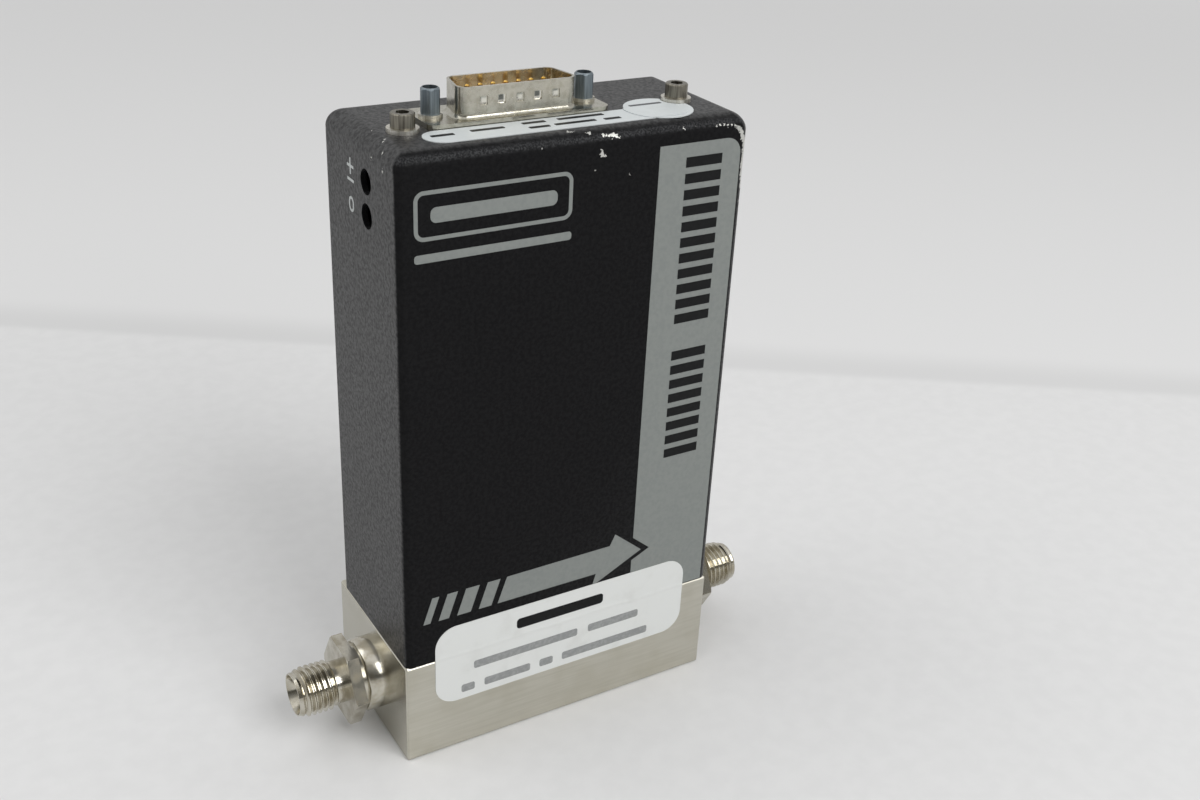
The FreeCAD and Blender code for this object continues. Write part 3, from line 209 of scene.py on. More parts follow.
def powder_coat():
    """Textured powder coat, baked on sheet metal: a fine sandy skin, near black square on and grey at a
    slant, chipped to bright metal at the edges."""
    coat, shader = finish("textured_powder_coat", "181819", 0.0, 0.5)
    place = add(coat, "ShaderNodeTexCoord").outputs["Object"]
    # The coat's grains are about 0.2 mm; they are drawn at 0.6 mm, and their clusters at 0.85 mm, to show.
    sand = add(coat, "ShaderNodeTexNoise", {"Vector": place, "Scale": 1 / (0.6 * MM), "Roughness": 0.6})
    clusters = add(coat, "ShaderNodeTexNoise", {"Vector": place, "Scale": 1 / (0.85 * MM), "Roughness": 0.6})
    cloud = add(coat, "ShaderNodeTexNoise", {"Vector": place, "Scale": 1 / (14.0 * MM), "Detail": 3.0})
    dark = add(coat, "ShaderNodeMapRange", {0: sand, 1: 0.35, 2: 0.7}, interpolation_type=SMOOTH)
    tone = add(coat, "ShaderNodeMix", {0: dark, 6: linear("171718"), 7: linear("19191a")}, data_type="RGBA")
    uneven = add(coat, "ShaderNodeMapRange", {0: cloud, 1: 0.35, 2: 0.65, 4: 0.35}, interpolation_type=SMOOTH)
    tone = add(coat, "ShaderNodeMix", {0: uneven, 6: tone, 7: linear("161617")}, data_type="RGBA")

    # The rubbed line along the front edge of the roof, finely speckled rather than bare: partly wear of the
    # coat and partly a painted highlight on the rounded edge.
    axes = add(coat, "ShaderNodeSeparateXYZ", {0: place})
    above = {0: axes.outputs["Z"], 1: RUB_AND_SHEEN_FOOT[0] * MM, 2: RUB_AND_SHEEN_FOOT[1] * MM}
    above = add(coat, "ShaderNodeMapRange", above, interpolation_type=SMOOTH)
    below = {0: axes.outputs["Z"], 1: RUB_AND_SHEEN_TOP[0] * MM, 2: RUB_AND_SHEEN_TOP[1] * MM, 3: 1.0, 4: 0.0}
    below = add(coat, "ShaderNodeMapRange", below, interpolation_type=SMOOTH)
    front = {0: axes.outputs["Y"], 1: RUB_AND_SHEEN_BACK[0] * MM, 2: RUB_AND_SHEEN_BACK[1] * MM, 3: 1.0, 4: 0.0}
    front = add(coat, "ShaderNodeMapRange", front, interpolation_type=SMOOTH)
    specks = add(coat, "ShaderNodeTexNoise", {"Vector": place, "Scale": 1 / (0.35 * MM)})
    specks = {0: specks, 1: 0.4, 2: 0.66, 3: 0.06, 4: 0.4}
    specks = add(coat, "ShaderNodeMapRange", specks, interpolation_type=SMOOTH)
    rub_and_sheen = add(coat, "ShaderNodeMath", {0: above, 1: below}, operation="MULTIPLY")
    rub_and_sheen = add(coat, "ShaderNodeMath", {0: rub_and_sheen, 1: front}, operation="MULTIPLY")
    rub_and_sheen = add(coat, "ShaderNodeMath", {0: rub_and_sheen, 1: specks}, operation="MULTIPLY")
    tone = add(coat, "ShaderNodeMix", {0: rub_and_sheen, 6: tone, 7: linear("5e5f61")}, data_type="RGBA")

    # Each chip is a ball whose edge is made ragged by shifting the point that it is measured from.
    ragged = add(coat, "ShaderNodeTexNoise", {"Vector": place, "Scale": 1 / (0.45 * MM), "Detail": 4.0})
    shift = {0: ragged.outputs["Color"], 1: (0.5, 0.5, 0.5)}
    shift = add(coat, "ShaderNodeVectorMath", shift, operation="SUBTRACT")
    shift = add(coat, "ShaderNodeVectorMath", {0: shift, "Scale": 1.5 * MM}, operation="SCALE")
    point = add(coat, "ShaderNodeVectorMath", {0: place, 1: shift}, operation="ADD")
    nearest = 9.0
    for x, y, z, radius in CHIPS:
        away = {0: point, 1: (x * MM, y * MM, z * MM)}
        away = add(coat, "ShaderNodeVectorMath", away, operation="DISTANCE")
        share = {0: away.outputs["Value"], 1: radius * MM}
        share = add(coat, "ShaderNodeMath", share, operation="DIVIDE")
        nearest = add(coat, "ShaderNodeMath", {0: nearest, 1: share}, operation="MINIMUM")
    chipped = {0: nearest, 1: 0.94, 2: 1.04, 3: 1.0, 4: 0.0}
    chipped = add(coat, "ShaderNodeMapRange", chipped, interpolation_type=SMOOTH)
    tone = add(coat, "ShaderNodeMix", {0: chipped, 6: tone, 7: linear("cfcfca")}, data_type="RGBA")
    gloss = {0: sand, 1: 0.3, 2: 0.75, 3: 0.42, 4: 0.56}
    gloss = add(coat, "ShaderNodeMapRange", gloss, interpolation_type=SMOOTH)
    gloss = add(coat, "ShaderNodeMix", {0: chipped, 2: gloss, 3: 0.38})
    height = add(coat, "ShaderNodeMath", {0: sand, 1: chipped}, operation="SUBTRACT")
    relief = add(coat, "ShaderNodeBump", {"Height": height, "Distance": 0.045 * MM})

    # Square on, the grains hide what the coat mirrors; at a slant their tops line up and it turns grey.
    slant = add(coat, "ShaderNodeLayerWeight", {"Blend": 0.5}).outputs["Facing"]
    mirrored = {0: slant, 1: 0.26, 2: 0.56, 3: 0.05, 4: 0.74}
    mirrored = add(coat, "ShaderNodeMapRange", mirrored, interpolation_type=SMOOTH)
    speckled = {0: clusters, 1: 0.35, 2: 0.65, 3: 0.55, 4: 1.37}
    speckled = add(coat, "ShaderNodeMapRange", speckled, interpolation_type=SMOOTH)
    mirrored = add(coat, "ShaderNodeMath", {0: mirrored, 1: speckled}, operation="MULTIPLY")
    connect(coat, shader, {"Base Color": tone, "Metallic": chipped, "Roughness": gloss,
                           "Specular IOR Level": mirrored, "Normal": relief})
    return coat


def ground_stainless():
    """Stainless steel, ground along its length: satin and slightly warm, with fine level lines."""
    steel, shader = finish("ground_stainless", "c2bfb3", 1.0, 0.36)
    place = add(steel, "ShaderNodeTexCoord").outputs["Object"]
    # Grinding lines of about 0.05 mm, drawn ten times as coarse to show, and thirty times longer than wide.
    drawn = add(steel, "ShaderNodeMapping", {"Vector": place, "Scale": (0.035, 1, 1)})
    lines = {"Vector": drawn, "Scale": 1 / (0.5 * MM), "Detail": 4.0, "Roughness": 0.55}
    lines = add(steel, "ShaderNodeTexNoise", lines)
    cloud = add(steel, "ShaderNodeTexNoise", {"Vector": place, "Scale": 1 / (9.0 * MM)})
    pale = add(steel, "ShaderNodeMapRange", {0: lines, 1: 0.3, 2: 0.7}, interpolation_type=SMOOTH)
    tone = add(steel, "ShaderNodeMix", {0: pale, 6: linear("c2bfb3"), 7: linear("cbc8bd")}, data_type="RGBA")
    darkening = add(steel, "ShaderNodeMapRange", {0: cloud, 1: 0.4, 2: 0.75, 4: 0.5}, interpolation_type=SMOOTH)
    tone = add(steel, "ShaderNodeMix", {0: darkening, 6: tone, 7: linear("b9b5a6")}, data_type="RGBA")
    satin = {0: lines, 1: 0.3, 2: 0.7, 3: 0.34, 4: 0.41}
    satin = add(steel, "ShaderNodeMapRange", satin, interpolation_type=SMOOTH)
    # The two ends are milled rather than ground, and mirror the fittings more clearly.
    along = add(steel, "ShaderNodeSeparateXYZ", {0: place}).outputs["X"]
    along = add(steel, "ShaderNodeMath", {0: along}, operation="ABSOLUTE")
    ends = {0: along, 1: (BLOCK_END - 0.12) * MM, 2: (BLOCK_END - 0.04) * MM}
    ends = add(steel, "ShaderNodeMapRange", ends)
    gloss = add(steel, "ShaderNodeMix", {0: ends, 2: satin, 3: 0.26})
    relief = add(steel, "ShaderNodeBump", {"Height": lines, "Distance": 0.004 * MM})
    connect(steel, shader, {"Base Color": tone, "Roughness": gloss, "Normal": relief})
    return steel


def turned_stainless():
    """Stainless steel bar, turned: bright, with fine rings round the axis of the fitting."""
    steel, shader = finish("turned_stainless", "c9c5bb", 1.0, 0.2)
    place = add(steel, "ShaderNodeTexCoord").outputs["Object"]
    # Tool marks of about 0.05 mm, drawn three times as coarse to show.
    drawn = add(steel, "ShaderNodeMapping", {"Vector": place, "Scale": (1, 0.02, 0.02)})
    rings = add(steel, "ShaderNodeTexNoise", {"Vector": drawn, "Scale": 1 / (0.16 * MM)})
    cloud = add(steel, "ShaderNodeTexNoise", {"Vector": place, "Scale": 1 / (3.0 * MM), "Detail": 3.0})
    darkening = add(steel, "ShaderNodeMapRange", {0: cloud, 1: 0.35, 2: 0.7}, interpolation_type=SMOOTH)
    tone = add(steel, "ShaderNodeMix", {0: darkening, 6: linear("cdc9bd"), 7: linear("aca593")}, data_type="RGBA")
    gloss = {0: cloud, 1: 0.3, 2: 0.7, 3: 0.14, 4: 0.24}
    gloss = add(steel, "ShaderNodeMapRange", gloss, interpolation_type=SMOOTH)
    relief = add(steel, "ShaderNodeBump", {"Height": rings, "Distance": 0.004 * MM})
    connect(steel, shader, {"Base Color": tone, "Roughness": gloss, "Normal": relief})
    return steel


def nickel_plate():
    """Bright nickel on drawn sheet: wavy reflections, pressed dimples bowled rather than flat, and painted
    light inside the shell and in the dimples.
    """
    plate, shader = finish("bright_nickel_plate", "bdbab0", 1.0, 0.16)
    place = add(plate, "ShaderNodeTexCoord").outputs["Object"]
    waves = add(plate, "ShaderNodeTexNoise", {"Vector": place, "Scale": 1 / (2.6 * MM), "Roughness": 0.4})
    stain = add(plate, "ShaderNodeTexNoise", {"Vector": place, "Scale": 1 / (1.2 * MM), "Detail": 3.0})
    stain = add(plate, "ShaderNodeMapRange", {0: stain, 1: 0.4, 2: 0.7, 4: 0.6}, interpolation_type=SMOOTH)
    tone = add(plate, "ShaderNodeMix", {0: stain, 6: linear("b9b6aa"), 7: linear("9e9a8a")}, data_type="RGBA")

    # The inner side of the long walls is painted much paler: painted light and reflection inside the shell's
    # recess.
    axes = add(plate, "ShaderNodeSeparateXYZ", {0: place})
    painted_inner_light = 1.0
    for axis, centre, reach in (("X", SHELL_X, SHELL_INNER_X), ("Y", SHELL_Y, SHELL_INNER_Y)):
        off = add(plate, "ShaderNodeMath", {0: axes.outputs[axis], 1: centre * MM}, operation="SUBTRACT")
        off = add(plate, "ShaderNodeMath", {0: off}, operation="ABSOLUTE")
        off = add(plate, "ShaderNodeMath", {0: off, 1: reach * MM}, operation="LESS_THAN")
        painted_inner_light = add(plate, "ShaderNodeMath", {0: off, 1: painted_inner_light}, operation="MULTIPLY")
    tone = add(plate, "ShaderNodeMix", {0: painted_inner_light, 6: tone, 7: linear("f3f0e6")}, data_type="RGBA")

    # The dimples' row is one square repeated along X, as far as the row goes.
    middle = (DIMPLE_X + DIMPLE_PITCH / 2) * MM
    along = {0: axes.outputs["X"], 1: middle, 2: middle - DIMPLE_PITCH * MM}
    along = add(plate, "ShaderNodeMath", along, operation="WRAP")
    along = add(plate, "ShaderNodeMath", {0: along, 1: DIMPLE_X * MM}, operation="SUBTRACT")
    up = add(plate, "ShaderNodeMath", {0: axes.outputs["Z"], 1: DIMPLE_Z * MM}, operation="SUBTRACT")
    bowl = {0: axes.outputs["Y"], 1: SHELL_FRONT[0] * MM, 2: SHELL_FRONT[1] * MM, 3: 1.0, 4: 0.0}
    bowl = add(plate, "ShaderNodeMapRange", bowl, interpolation_type=SMOOTH)
    row = add(plate, "ShaderNodeMath", {0: axes.outputs["X"], 1: DIMPLE_X * MM}, operation="SUBTRACT")
    row = add(plate, "ShaderNodeMath", {0: row}, operation="ABSOLUTE")
    row = {0: row, 1: DIMPLE_COUNT / 2 * DIMPLE_PITCH * MM}
    row = add(plate, "ShaderNodeMath", row, operation="LESS_THAN")
    bowl = add(plate, "ShaderNodeMath", {0: bowl, 1: row}, operation="MULTIPLY")
    for way in (along, up):
        size = add(plate, "ShaderNodeMath", {0: way}, operation="ABSOLUTE")
        size = {0: size, 1: 0.3 * MM, 2: 0.9 * MM, 3: 1.0, 4: 0.0}
        size = add(plate, "ShaderNodeMapRange", size, interpolation_type=SMOOTH)
        bowl = add(plate, "ShaderNodeMath", {0: bowl, 1: size}, operation="MULTIPLY")

    # Every second dimple is pressed deeper; its upper part is painted dark, a painted dark reflection.
    pair = {0: axes.outputs["X"], 1: middle, 2: middle - 2 * DIMPLE_PITCH * MM}
    pair = add(plate, "ShaderNodeMath", pair, operation="WRAP")
    deep = {0: pair, 1: middle - 1.1 * DIMPLE_PITCH * MM, 2: middle - 0.9 * DIMPLE_PITCH * MM, 3: 1.0, 4: 0.0}
    deep = add(plate, "ShaderNodeMapRange", deep, interpolation_type=SMOOTH)
    darkening = {0: up, 1: -0.45 * MM, 2: -0.25 * MM, 4: 0.85}
    darkening = add(plate, "ShaderNodeMapRange", darkening, interpolation_type=SMOOTH)
    darkening = add(plate, "ShaderNodeMath", {0: darkening, 1: deep}, operation="MULTIPLY")
    darkening = add(plate, "ShaderNodeMath", {0: darkening, 1: bowl}, operation="MULTIPLY")
    # Every dimple is painted paler: a painted pale reflection.
    pale = add(plate, "ShaderNodeMath", {0: bowl, 1: 0.8}, operation="MULTIPLY")
    tone = add(plate, "ShaderNodeMix", {0: pale, 6: tone, 7: linear("e6e4da")}, data_type="RGBA")
    tone = add(plate, "ShaderNodeMix", {0: darkening, 6: tone, 7: linear("343a39")}, data_type="RGBA")
    gloss = {0: waves, 1: 0.3, 2: 0.7, 3: 0.18, 4: 0.3}
    gloss = add(plate, "ShaderNodeMapRange", gloss, interpolation_type=SMOOTH)
    soft = add(plate, "ShaderNodeMath", {0: waves, 1: 0.6}, operation="MULTIPLY")
    bent = add(plate, "ShaderNodeMath", {0: soft, 1: bowl}, operation="SUBTRACT")
    relief = add(plate, "ShaderNodeBump", {"Height": bent, "Distance": 0.12 * MM})
    connect(plate, shader, {"Base Color": tone, "Roughness": gloss, "Normal": relief})
    return plate


def gold_plate():
    """Thin gold over nickel on drawn pins: warm yellow, smooth, deeper where it is thin."""
    return mottled("gold_plate", "e2bd6c", "c79a45", 1.0, 0.24, grain_mm=0.7, detail=3.0, depth_mm=0.01)


def insert_moulding():
    """Glass-filled polyester insert: tan and dull, with flow marks."""
    return mottled("filled_polyester_insert", "efe6cd", "f6efdc", 0.0, 0.5, grain_mm=0.8, detail=3.0,
                   depth_mm=0.02, IOR=1.53)


def zinc_steel(name, first, second, roughness):
    """Plated steel bar: cool grey with fine marks along the bar that it was cut from."""
    steel, shader = finish(name, first, 1.0, roughness)
    place = add(steel, "ShaderNodeTexCoord").outputs["Object"]
    drawn = add(steel, "ShaderNodeMapping", {"Vector": place, "Scale": (1, 1, 0.05)})
    marks = add(steel, "ShaderNodeTexNoise", {"Vector": drawn, "Scale": 1 / (0.35 * MM), "Detail": 1.0})
    worn = add(steel, "ShaderNodeMapRange", {0: marks, 1: 0.35, 2: 0.7}, interpolation_type=SMOOTH)
    tone = add(steel, "ShaderNodeMix", {0: worn, 6: linear(first), 7: linear(second)}, data_type="RGBA")
    relief = add(steel, "ShaderNodeBump", {"Height": marks, "Distance": 0.06 * MM})
    connect(steel, shader, {"Base Color": tone, "Normal": relief})
    return steel


def label_film(name, colour, worn):
    """Matt polyester label film: nearly smooth, with faint soiling."""
    film, shader = finish(name, colour, 0.0, 0.42, IOR=1.5)
    place = add(film, "ShaderNodeTexCoord").outputs["Object"]
    soil = {"Vector": place, "Scale": 1 / (5.0 * MM), "Detail": 5.0, "Roughness": 0.65}
    soil = add(film, "ShaderNodeTexNoise", soil)
    soil = add(film, "ShaderNodeMapRange", {0: soil, 1: 0.5, 2: 0.8, 4: 0.8}, interpolation_type=SMOOTH)
    tone = add(film, "ShaderNodeMix", {0: soil, 6: linear(colour), 7: linear(worn)}, data_type="RGBA")
    ripple = add(film, "ShaderNodeTexNoise", {"Vector": place, "Scale": 1 / (1.5 * MM), "Detail": 3.0})
    relief = add(film, "ShaderNodeBump", {"Height": ripple, "Distance": 0.015 * MM})
    connect(film, shader, {"Base Color": tone, "Normal": relief})
    return film


def seal_film():
    """The same film where it bridges the joint: creased along the joint's line and scuffed."""
    film, shader = finish("white_label_film", "dadcda", 0.0, 0.4, IOR=1.5)
    place = add(film, "ShaderNodeTexCoord").outputs["Object"]
    wander = add(film, "ShaderNodeTexNoise", {"Vector": place, "Scale": 1 / (12.0 * MM), "Detail": 3.0})
    height = add(film, "ShaderNodeSeparateXYZ", {0: place}).outputs["Z"]
    height = {0: wander, 1: 1.2 * MM, 2: height}
    height = add(film, "ShaderNodeMath", height, operation="MULTIPLY_ADD")
    up = {0: height, 1: CREASE_FOOT[0] * MM, 2: CREASE_FOOT[1] * MM}
    up = add(film, "ShaderNodeMapRange", up, interpolation_type=SMOOTH)
    down = {0: height, 1: CREASE_TOP[0] * MM, 2: CREASE_TOP[1] * MM, 3: 1.0, 4: 0.0}
    down = add(film, "ShaderNodeMapRange", down, interpolation_type=SMOOTH)
    crease = add(film, "ShaderNodeMath", {0: up, 1: down}, operation="MULTIPLY")
    relief = add(film, "ShaderNodeBump", {"Height": crease, "Distance": 0.05 * MM})
    soil = add(film, "ShaderNodeTexNoise", {"Vector": place, "Scale": 1 / (6.0 * MM), "Detail": 5.0})
    soil = add(film, "ShaderNodeMapRange", {0: soil, 1: 0.5, 2: 0.8, 4: 0.8}, interpolation_type=SMOOTH)
    tone = add(film, "ShaderNodeMix", {0: soil, 6: linear("dcdedc"), 7: linear("cfd0cd")}, data_type="RGBA")
    connect(film, shader, {"Base Color": tone, "Normal": relief})
    return film


def screen_ink(name, colour, other):
    """Screen ink: flat, a little uneven in density."""
    return mottled(name, colour, other, 0.0, 0.5, grain_mm=0.8, detail=4.0, depth_mm=0.01, IOR=1.25)


def moulding(name, colour, other, roughness):
    """Moulded plastic or rubber: one colour with a faint mottle and a fine skin."""
    resin, shader = finish(name, colour, 0.0, roughness, IOR=1.5)
    place = add(resin, "ShaderNodeTexCoord").outputs["Object"]
    mottle = add(resin, "ShaderNodeTexNoise", {"Vector": place, "Scale": 1 / (1.5 * MM), "Detail": 3.0})
    mottle = add(resin, "ShaderNodeMapRange", {0: mottle, 1: 0.35, 2: 0.7}, interpolation_type=SMOOTH)
    tone = add(resin, "ShaderNodeMix", {0: mottle, 6: linear(colour), 7: linear(other)}, data_type="RGBA")
    skin = add(resin, "ShaderNodeTexNoise", {"Vector": place, "Scale": 1 / (0.25 * MM)})
    relief = add(resin, "ShaderNodeBump", {"Height": skin, "Distance": 0.01 * MM})
    connect(resin, shader, {"Base Color": tone, "Normal": relief})
    return resin


def plain_metal(name, colour, other, roughness):
    """Sheet or bar metal inside the cover: even, with faint handling marks."""
    return mottled(name, colour, other, 1.0, roughness, grain_mm=2.0, detail=4.0, depth_mm=0.01)


def trimmer_brass():
    """Turned brass screw head, bright on its face and darker down in the slot."""
    brass, shader = finish("slotted_brass", "c9a45a", 1.0, 0.3)
    place = add(brass, "ShaderNodeTexCoord").outputs["Object"]
    marks = add(brass, "ShaderNodeTexNoise", {"Vector": place, "Scale": 1 / (0.4 * MM), "Detail": 3.0})
    worn = add(brass, "ShaderNodeMapRange", {0: marks, 1: 0.35, 2: 0.7}, interpolation_type=SMOOTH)
    tone = add(brass, "ShaderNodeMix", {0: worn, 6: linear("c9a45a"), 7: linear("b08a45")}, data_type="RGBA")
    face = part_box("gain_trim_screw")[0].x
    deep = add(brass, "ShaderNodeSeparateXYZ", {0: place}).outputs["X"]
    deep = {0: deep, 1: face + 0.1 * MM, 2: face + 0.35 * MM}
    deep = add(brass, "ShaderNodeMapRange", deep, interpolation_type=SMOOTH)
    tone = add(brass, "ShaderNodeMix", {0: deep, 6: tone, 7: linear("2b2110")}, data_type="RGBA")
    relief = add(brass, "ShaderNodeBump", {"Height": marks, "Distance": 0.01 * MM})
    connect(brass, shader, {"Base Color": tone, "Normal": relief})
    return brass


def wound_wire():
    """Varnished copper wire: close rings of 0.2 mm along the winding."""
    wire, shader = finish("varnished_wire", "8c4a20", 0.0, 0.3, IOR=1.5)
    place = add(wire, "ShaderNodeTexCoord").outputs["Object"]
    # At a scale of one, a wave repeats every tenth of pi.
    turns = {"Vector": place, "Scale": math.pi / 10 / (0.2 * MM)}
    turns = add(wire, "ShaderNodeTexWave", turns, bands_direction="X").outputs[0]
    tone = add(wire, "ShaderNodeMix", {0: turns, 6: linear("6e3716"), 7: linear("a9602c")}, data_type="RGBA")
    relief = add(wire, "ShaderNodeBump", {"Height": turns, "Distance": 0.05 * MM})
    connect(wire, shader, {"Base Color": tone, "Normal": relief})
    return wire


def table_sheet():
    """Pale matt laminate that meets a wall of nearly the same tone in a soft line of painted shade."""
    sheet, shader = finish("pale_laminate", "d9d9da", 0.0, 0.6, IOR=1.45)
    place = add(sheet, "ShaderNodeTexCoord").outputs["Object"]
    across = add(sheet, "ShaderNodeVectorMath", {0: place, 1: TO_WALL}, operation="DOT_PRODUCT")
    across = across.outputs["Value"]
    mottle = add(sheet, "ShaderNodeTexNoise", {"Vector": place, "Scale": 1 / (5.0 * MM), "Detail": 4.0})
    mottle = add(sheet, "ShaderNodeMapRange", {0: mottle, 1: 0.3, 2: 0.7}, interpolation_type=SMOOTH)
    tone = {0: mottle, 6: linear("dadada"), 7: linear("dddddd")}
    tone = add(sheet, "ShaderNodeMix", tone, data_type="RGBA")
    # A soft line of painted shade where the wall meets the table.
    foot = {0: across, 1: WALL_FOOT[0], 2: WALL_FOOT[1]}
    foot = add(sheet, "ShaderNodeMapRange", foot, interpolation_type=SMOOTH)
    tone = add(sheet, "ShaderNodeMix", {0: foot, 6: tone, 7: linear("d3d3d3")}, data_type="RGBA")
    far = {0: across, 1: WALL_FACE[0], 2: WALL_FACE[1]}
    far = add(sheet, "ShaderNodeMapRange", far, interpolation_type=SMOOTH)
    tone = add(sheet, "ShaderNodeMix", {0: far, 6: tone, 7: linear("dddddd")}, data_type="RGBA")
    connect(sheet, shader, {"Base Color": tone})
    # Far out, beyond the lamps' reach, the table takes the tone of the room behind it.
    reach = add(sheet, "ShaderNodeVectorMath", {0: place}, operation="LENGTH").outputs["Value"]
    reach = {0: reach, 1: ROOM_TONE[0], 2: ROOM_TONE[1]}
    reach = add(sheet, "ShaderNodeMapRange", reach, interpolation_type=SMOOTH)
    rays = add(sheet, "ShaderNodeLightPath").outputs
    seen = {0: rays["Is Camera Ray"], 1: rays["Is Glossy Ray"]}
    seen = add(sheet, "ShaderNodeMath", seen, operation="MAXIMUM")
    seen = add(sheet, "ShaderNodeMath", {0: seen, 1: rays["Is Transmission Ray"]}, operation="MAXIMUM")
    reach = add(sheet, "ShaderNodeMath", {0: reach, 1: seen}, operation="MULTIPLY")
    room = add(sheet, "ShaderNodeEmission", {"Color": linear("d4d4d4")})
    both = add(sheet, "ShaderNodeMixShader", {0: reach, 1: shader, 2: room})
    connect(sheet, sheet.node_tree.nodes["Material Output"], {"Surface": both})
    return sheet


STAINLESS = ground_stainless()
TURNED = turned_stainless()
PAINT = powder_coat()
NICKEL = nickel_plate()
GOLD = gold_plate()
INSERT = insert_moulding()
BLUE_STEEL = zinc_steel("blue_zinc_steel", "868f94", "6f7980", 0.46)
SCREW = zinc_steel("stainless_screw", "8d897e", "67635a", 0.36)
WASHER = zinc_steel("plated_washer", "dedbd3", "c8c4b8", 0.42)
FILM = label_film("silver_label_film", "c8cdce", "bcc0c0")
SEAL = seal_film()
GREY_INK = screen_ink("grey_screen_ink", "858986", "808482")
BLACK_INK = screen_ink("black_screen_ink", "0e0f10", "131415")
MARK_INK = screen_ink("pale_mark_ink", "c4c8c7", "b8bcbb")
DIM_INK = screen_ink("dim_label_ink", "55575a", "626466")
FADED_INK = screen_ink("faded_label_ink", "8e9090", "9b9d9c")
RUBBER = moulding("nitrile_rubber", "121212", "1a1a1a", 0.5)
BLACK_RESIN = moulding("black_epoxy_moulding", "17181a", "202124", 0.5)
BLUE_RESIN = moulding("blue_trimmer_moulding", "1d3f8a", "24499a", 0.35)
LAMINATE = moulding("green_board_laminate", "1d5b35", "236a3e", 0.4)
ALUMINIUM = plain_metal("plain_aluminium", "c6c8cb", "b5b7ba", 0.38)
BRASS = plain_metal("plain_brass", "c9a45a", "b58f49", 0.3)
TRIM_BRASS = trimmer_brass()
WIRE = wound_wire()

DRESS = {
    "base_block": STAINLESS,
    "inlet_fitting": TURNED,
    "outlet_fitting": TURNED,
    "inlet_o_ring": RUBBER,
    "outlet_o_ring": RUBBER,
    "bypass_element": TURNED,
    "bypass_retainer": TURNED,
    "sensor_flange": STAINLESS,
    "sensor_seals": RUBBER,
    "sensor_screws": SCREW,
    "sensor_tube": TURNED,
    "sensor_windings": WIRE,
    "sensor_housing": ALUMINIUM,
    "lead_block": BLACK_RESIN,
    "lead_pins": GOLD,
    "chassis_frame": ALUMINIUM,
    "frame_screws": SCREW,
    "clinch_nuts": WASHER,
    "circuit_board": LAMINATE,
    "board_spacers": BRASS,
    "board_screws": WASHER,
    "ribbon_header": BLACK_RESIN,
    "header_pins": GOLD,
    "gain_trimmer": BLUE_RESIN,
    "zero_trimmer": BLUE_RESIN,
    "gain_trim_screw": TRIM_BRASS,
    "zero_trim_screw": TRIM_BRASS,
    "ic_packages": BLACK_RESIN,
    "capacitors": BLUE_RESIN,
    "resistors": BLACK_RESIN,
    "connector_shell": NICKEL,
    "connector_rear_shell": NICKEL,
    "connector_insulator": INSERT,
    "contact_pins": GOLD,
    "screwlocks": BLUE_STEEL,
    "lock_washers": WASHER,
    "screwlock_nuts": WASHER,
    "cover": PAINT,
    "cover_screws": SCREW,
    "cover_washers": WASHER,
    "round_label": FILM,
    "serial_label": FILM,
    "seal_label": SEAL,
}
for node, material in DRESS.items():
    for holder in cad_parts[node].material_slots:
        holder.material = material


def piece(name, bm, material):
    """Make a modelled mesh one piece of the meter."""
    mesh = bpy.data.meshes.new(name)
    bm.to_mesh(mesh)
    bm.free()
    mesh.materials.append(material)
    made = bpy.data.objects.new(name, mesh)
    bpy.context.scene.collection.objects.link(made)
    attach(made, "meter_body")
    return made


# Where a layer of print lies: its own X and Y run along the face, and its Z points out of it.
# The band's face is a layer of ink above the cover's.
ON_FRONT = Matrix(((1, 0, 0, 0), (0, 0, -1, FACE_Y), (0, 1, 0, 0), (0, 0, 0, 1)))
ON_BAND = ON_FRONT @ Matrix.Translation((0, 0, INK))
ON_SEAL = Matrix(((1, 0, 0, 0), (0, 0, -1, FACE_Y - LABEL + INK), (0, 1, 0, 0), (0, 0, 0, 1)))
ON_LEFT = Matrix(((0, 0, -1, LEFT_X), (-1, 0, 0, 0), (0, 1, 0, 0), (0, 0, 0, 1)))
ON_LABEL = Matrix.Translation((0, 0, ROOF_Z + LABEL))


def patch(bm, corners, round_mm=0.0, rounded=None, line_mm=0.0):
    """One flat shape, with chosen corners rounded, kept as a line of that width where one is given."""
    corner_points = [bm.verts.new((x, y, 0)) for x, y in corners]
    bm.faces.new(corner_points)
    if round_mm:
        chosen = [corner_points[i] for i in (rounded or range(len(corners)))]
        bmesh.ops.bevel(bm, geom=chosen, offset=round_mm, offset_type="OFFSET", segments=8, profile=0.5,
                        affect="VERTICES", material=-1)
    if line_mm:
        bm.faces.ensure_lookup_table()
        inner = [bm.faces[-1]]
        bmesh.ops.inset_region(bm, faces=inner, thickness=line_mm, use_even_offset=True, use_boundary=True)
        bmesh.ops.delete(bm, geom=inner, context="FACES")


def bar(bm, left, right, low, high, round_mm=0.0, lean=0.0):
    """One bar of print between four limits, leaning by a share of its height."""
    slide = lean * (high - low)
    patch(bm, [(left, low), (right, low), (right + slide, high), (left + slide, high)], round_mm)


def print_layer(name, bm, where, material):
    """Give flat shapes the thickness of ink and lay them on a face."""
    flat = list(bm.faces)
    raised = bmesh.ops.extrude_face_region(bm, geom=flat)["geom"]
    points = [v for v in raised if isinstance(v, bmesh.types.BMVert)]
    bmesh.ops.translate(bm, verts=points, vec=(0, 0, INK + INK_SEAT))
    bmesh.ops.translate(bm, verts=bm.verts, vec=(0, 0, -INK_SEAT))
    bmesh.ops.recalc_face_normals(bm, faces=bm.faces)
    bmesh.ops.transform(bm, matrix=Matrix.Scale(MM, 4) @ where, verts=bm.verts)
    piece(name, bm, material)


# The grey band down the front, notched for the arrow's head.
band = bmesh.new()
patch(band, [(16.9, 25.2), (36.8, 25.2), (36.8, 132.4), (17.2, 132.4), (17.0, 42.1), (21.5, 38.3),
             (16.9, 36.1)], 3.5, [2])
print_layer("front_band", band, ON_FRONT, GREY_INK)

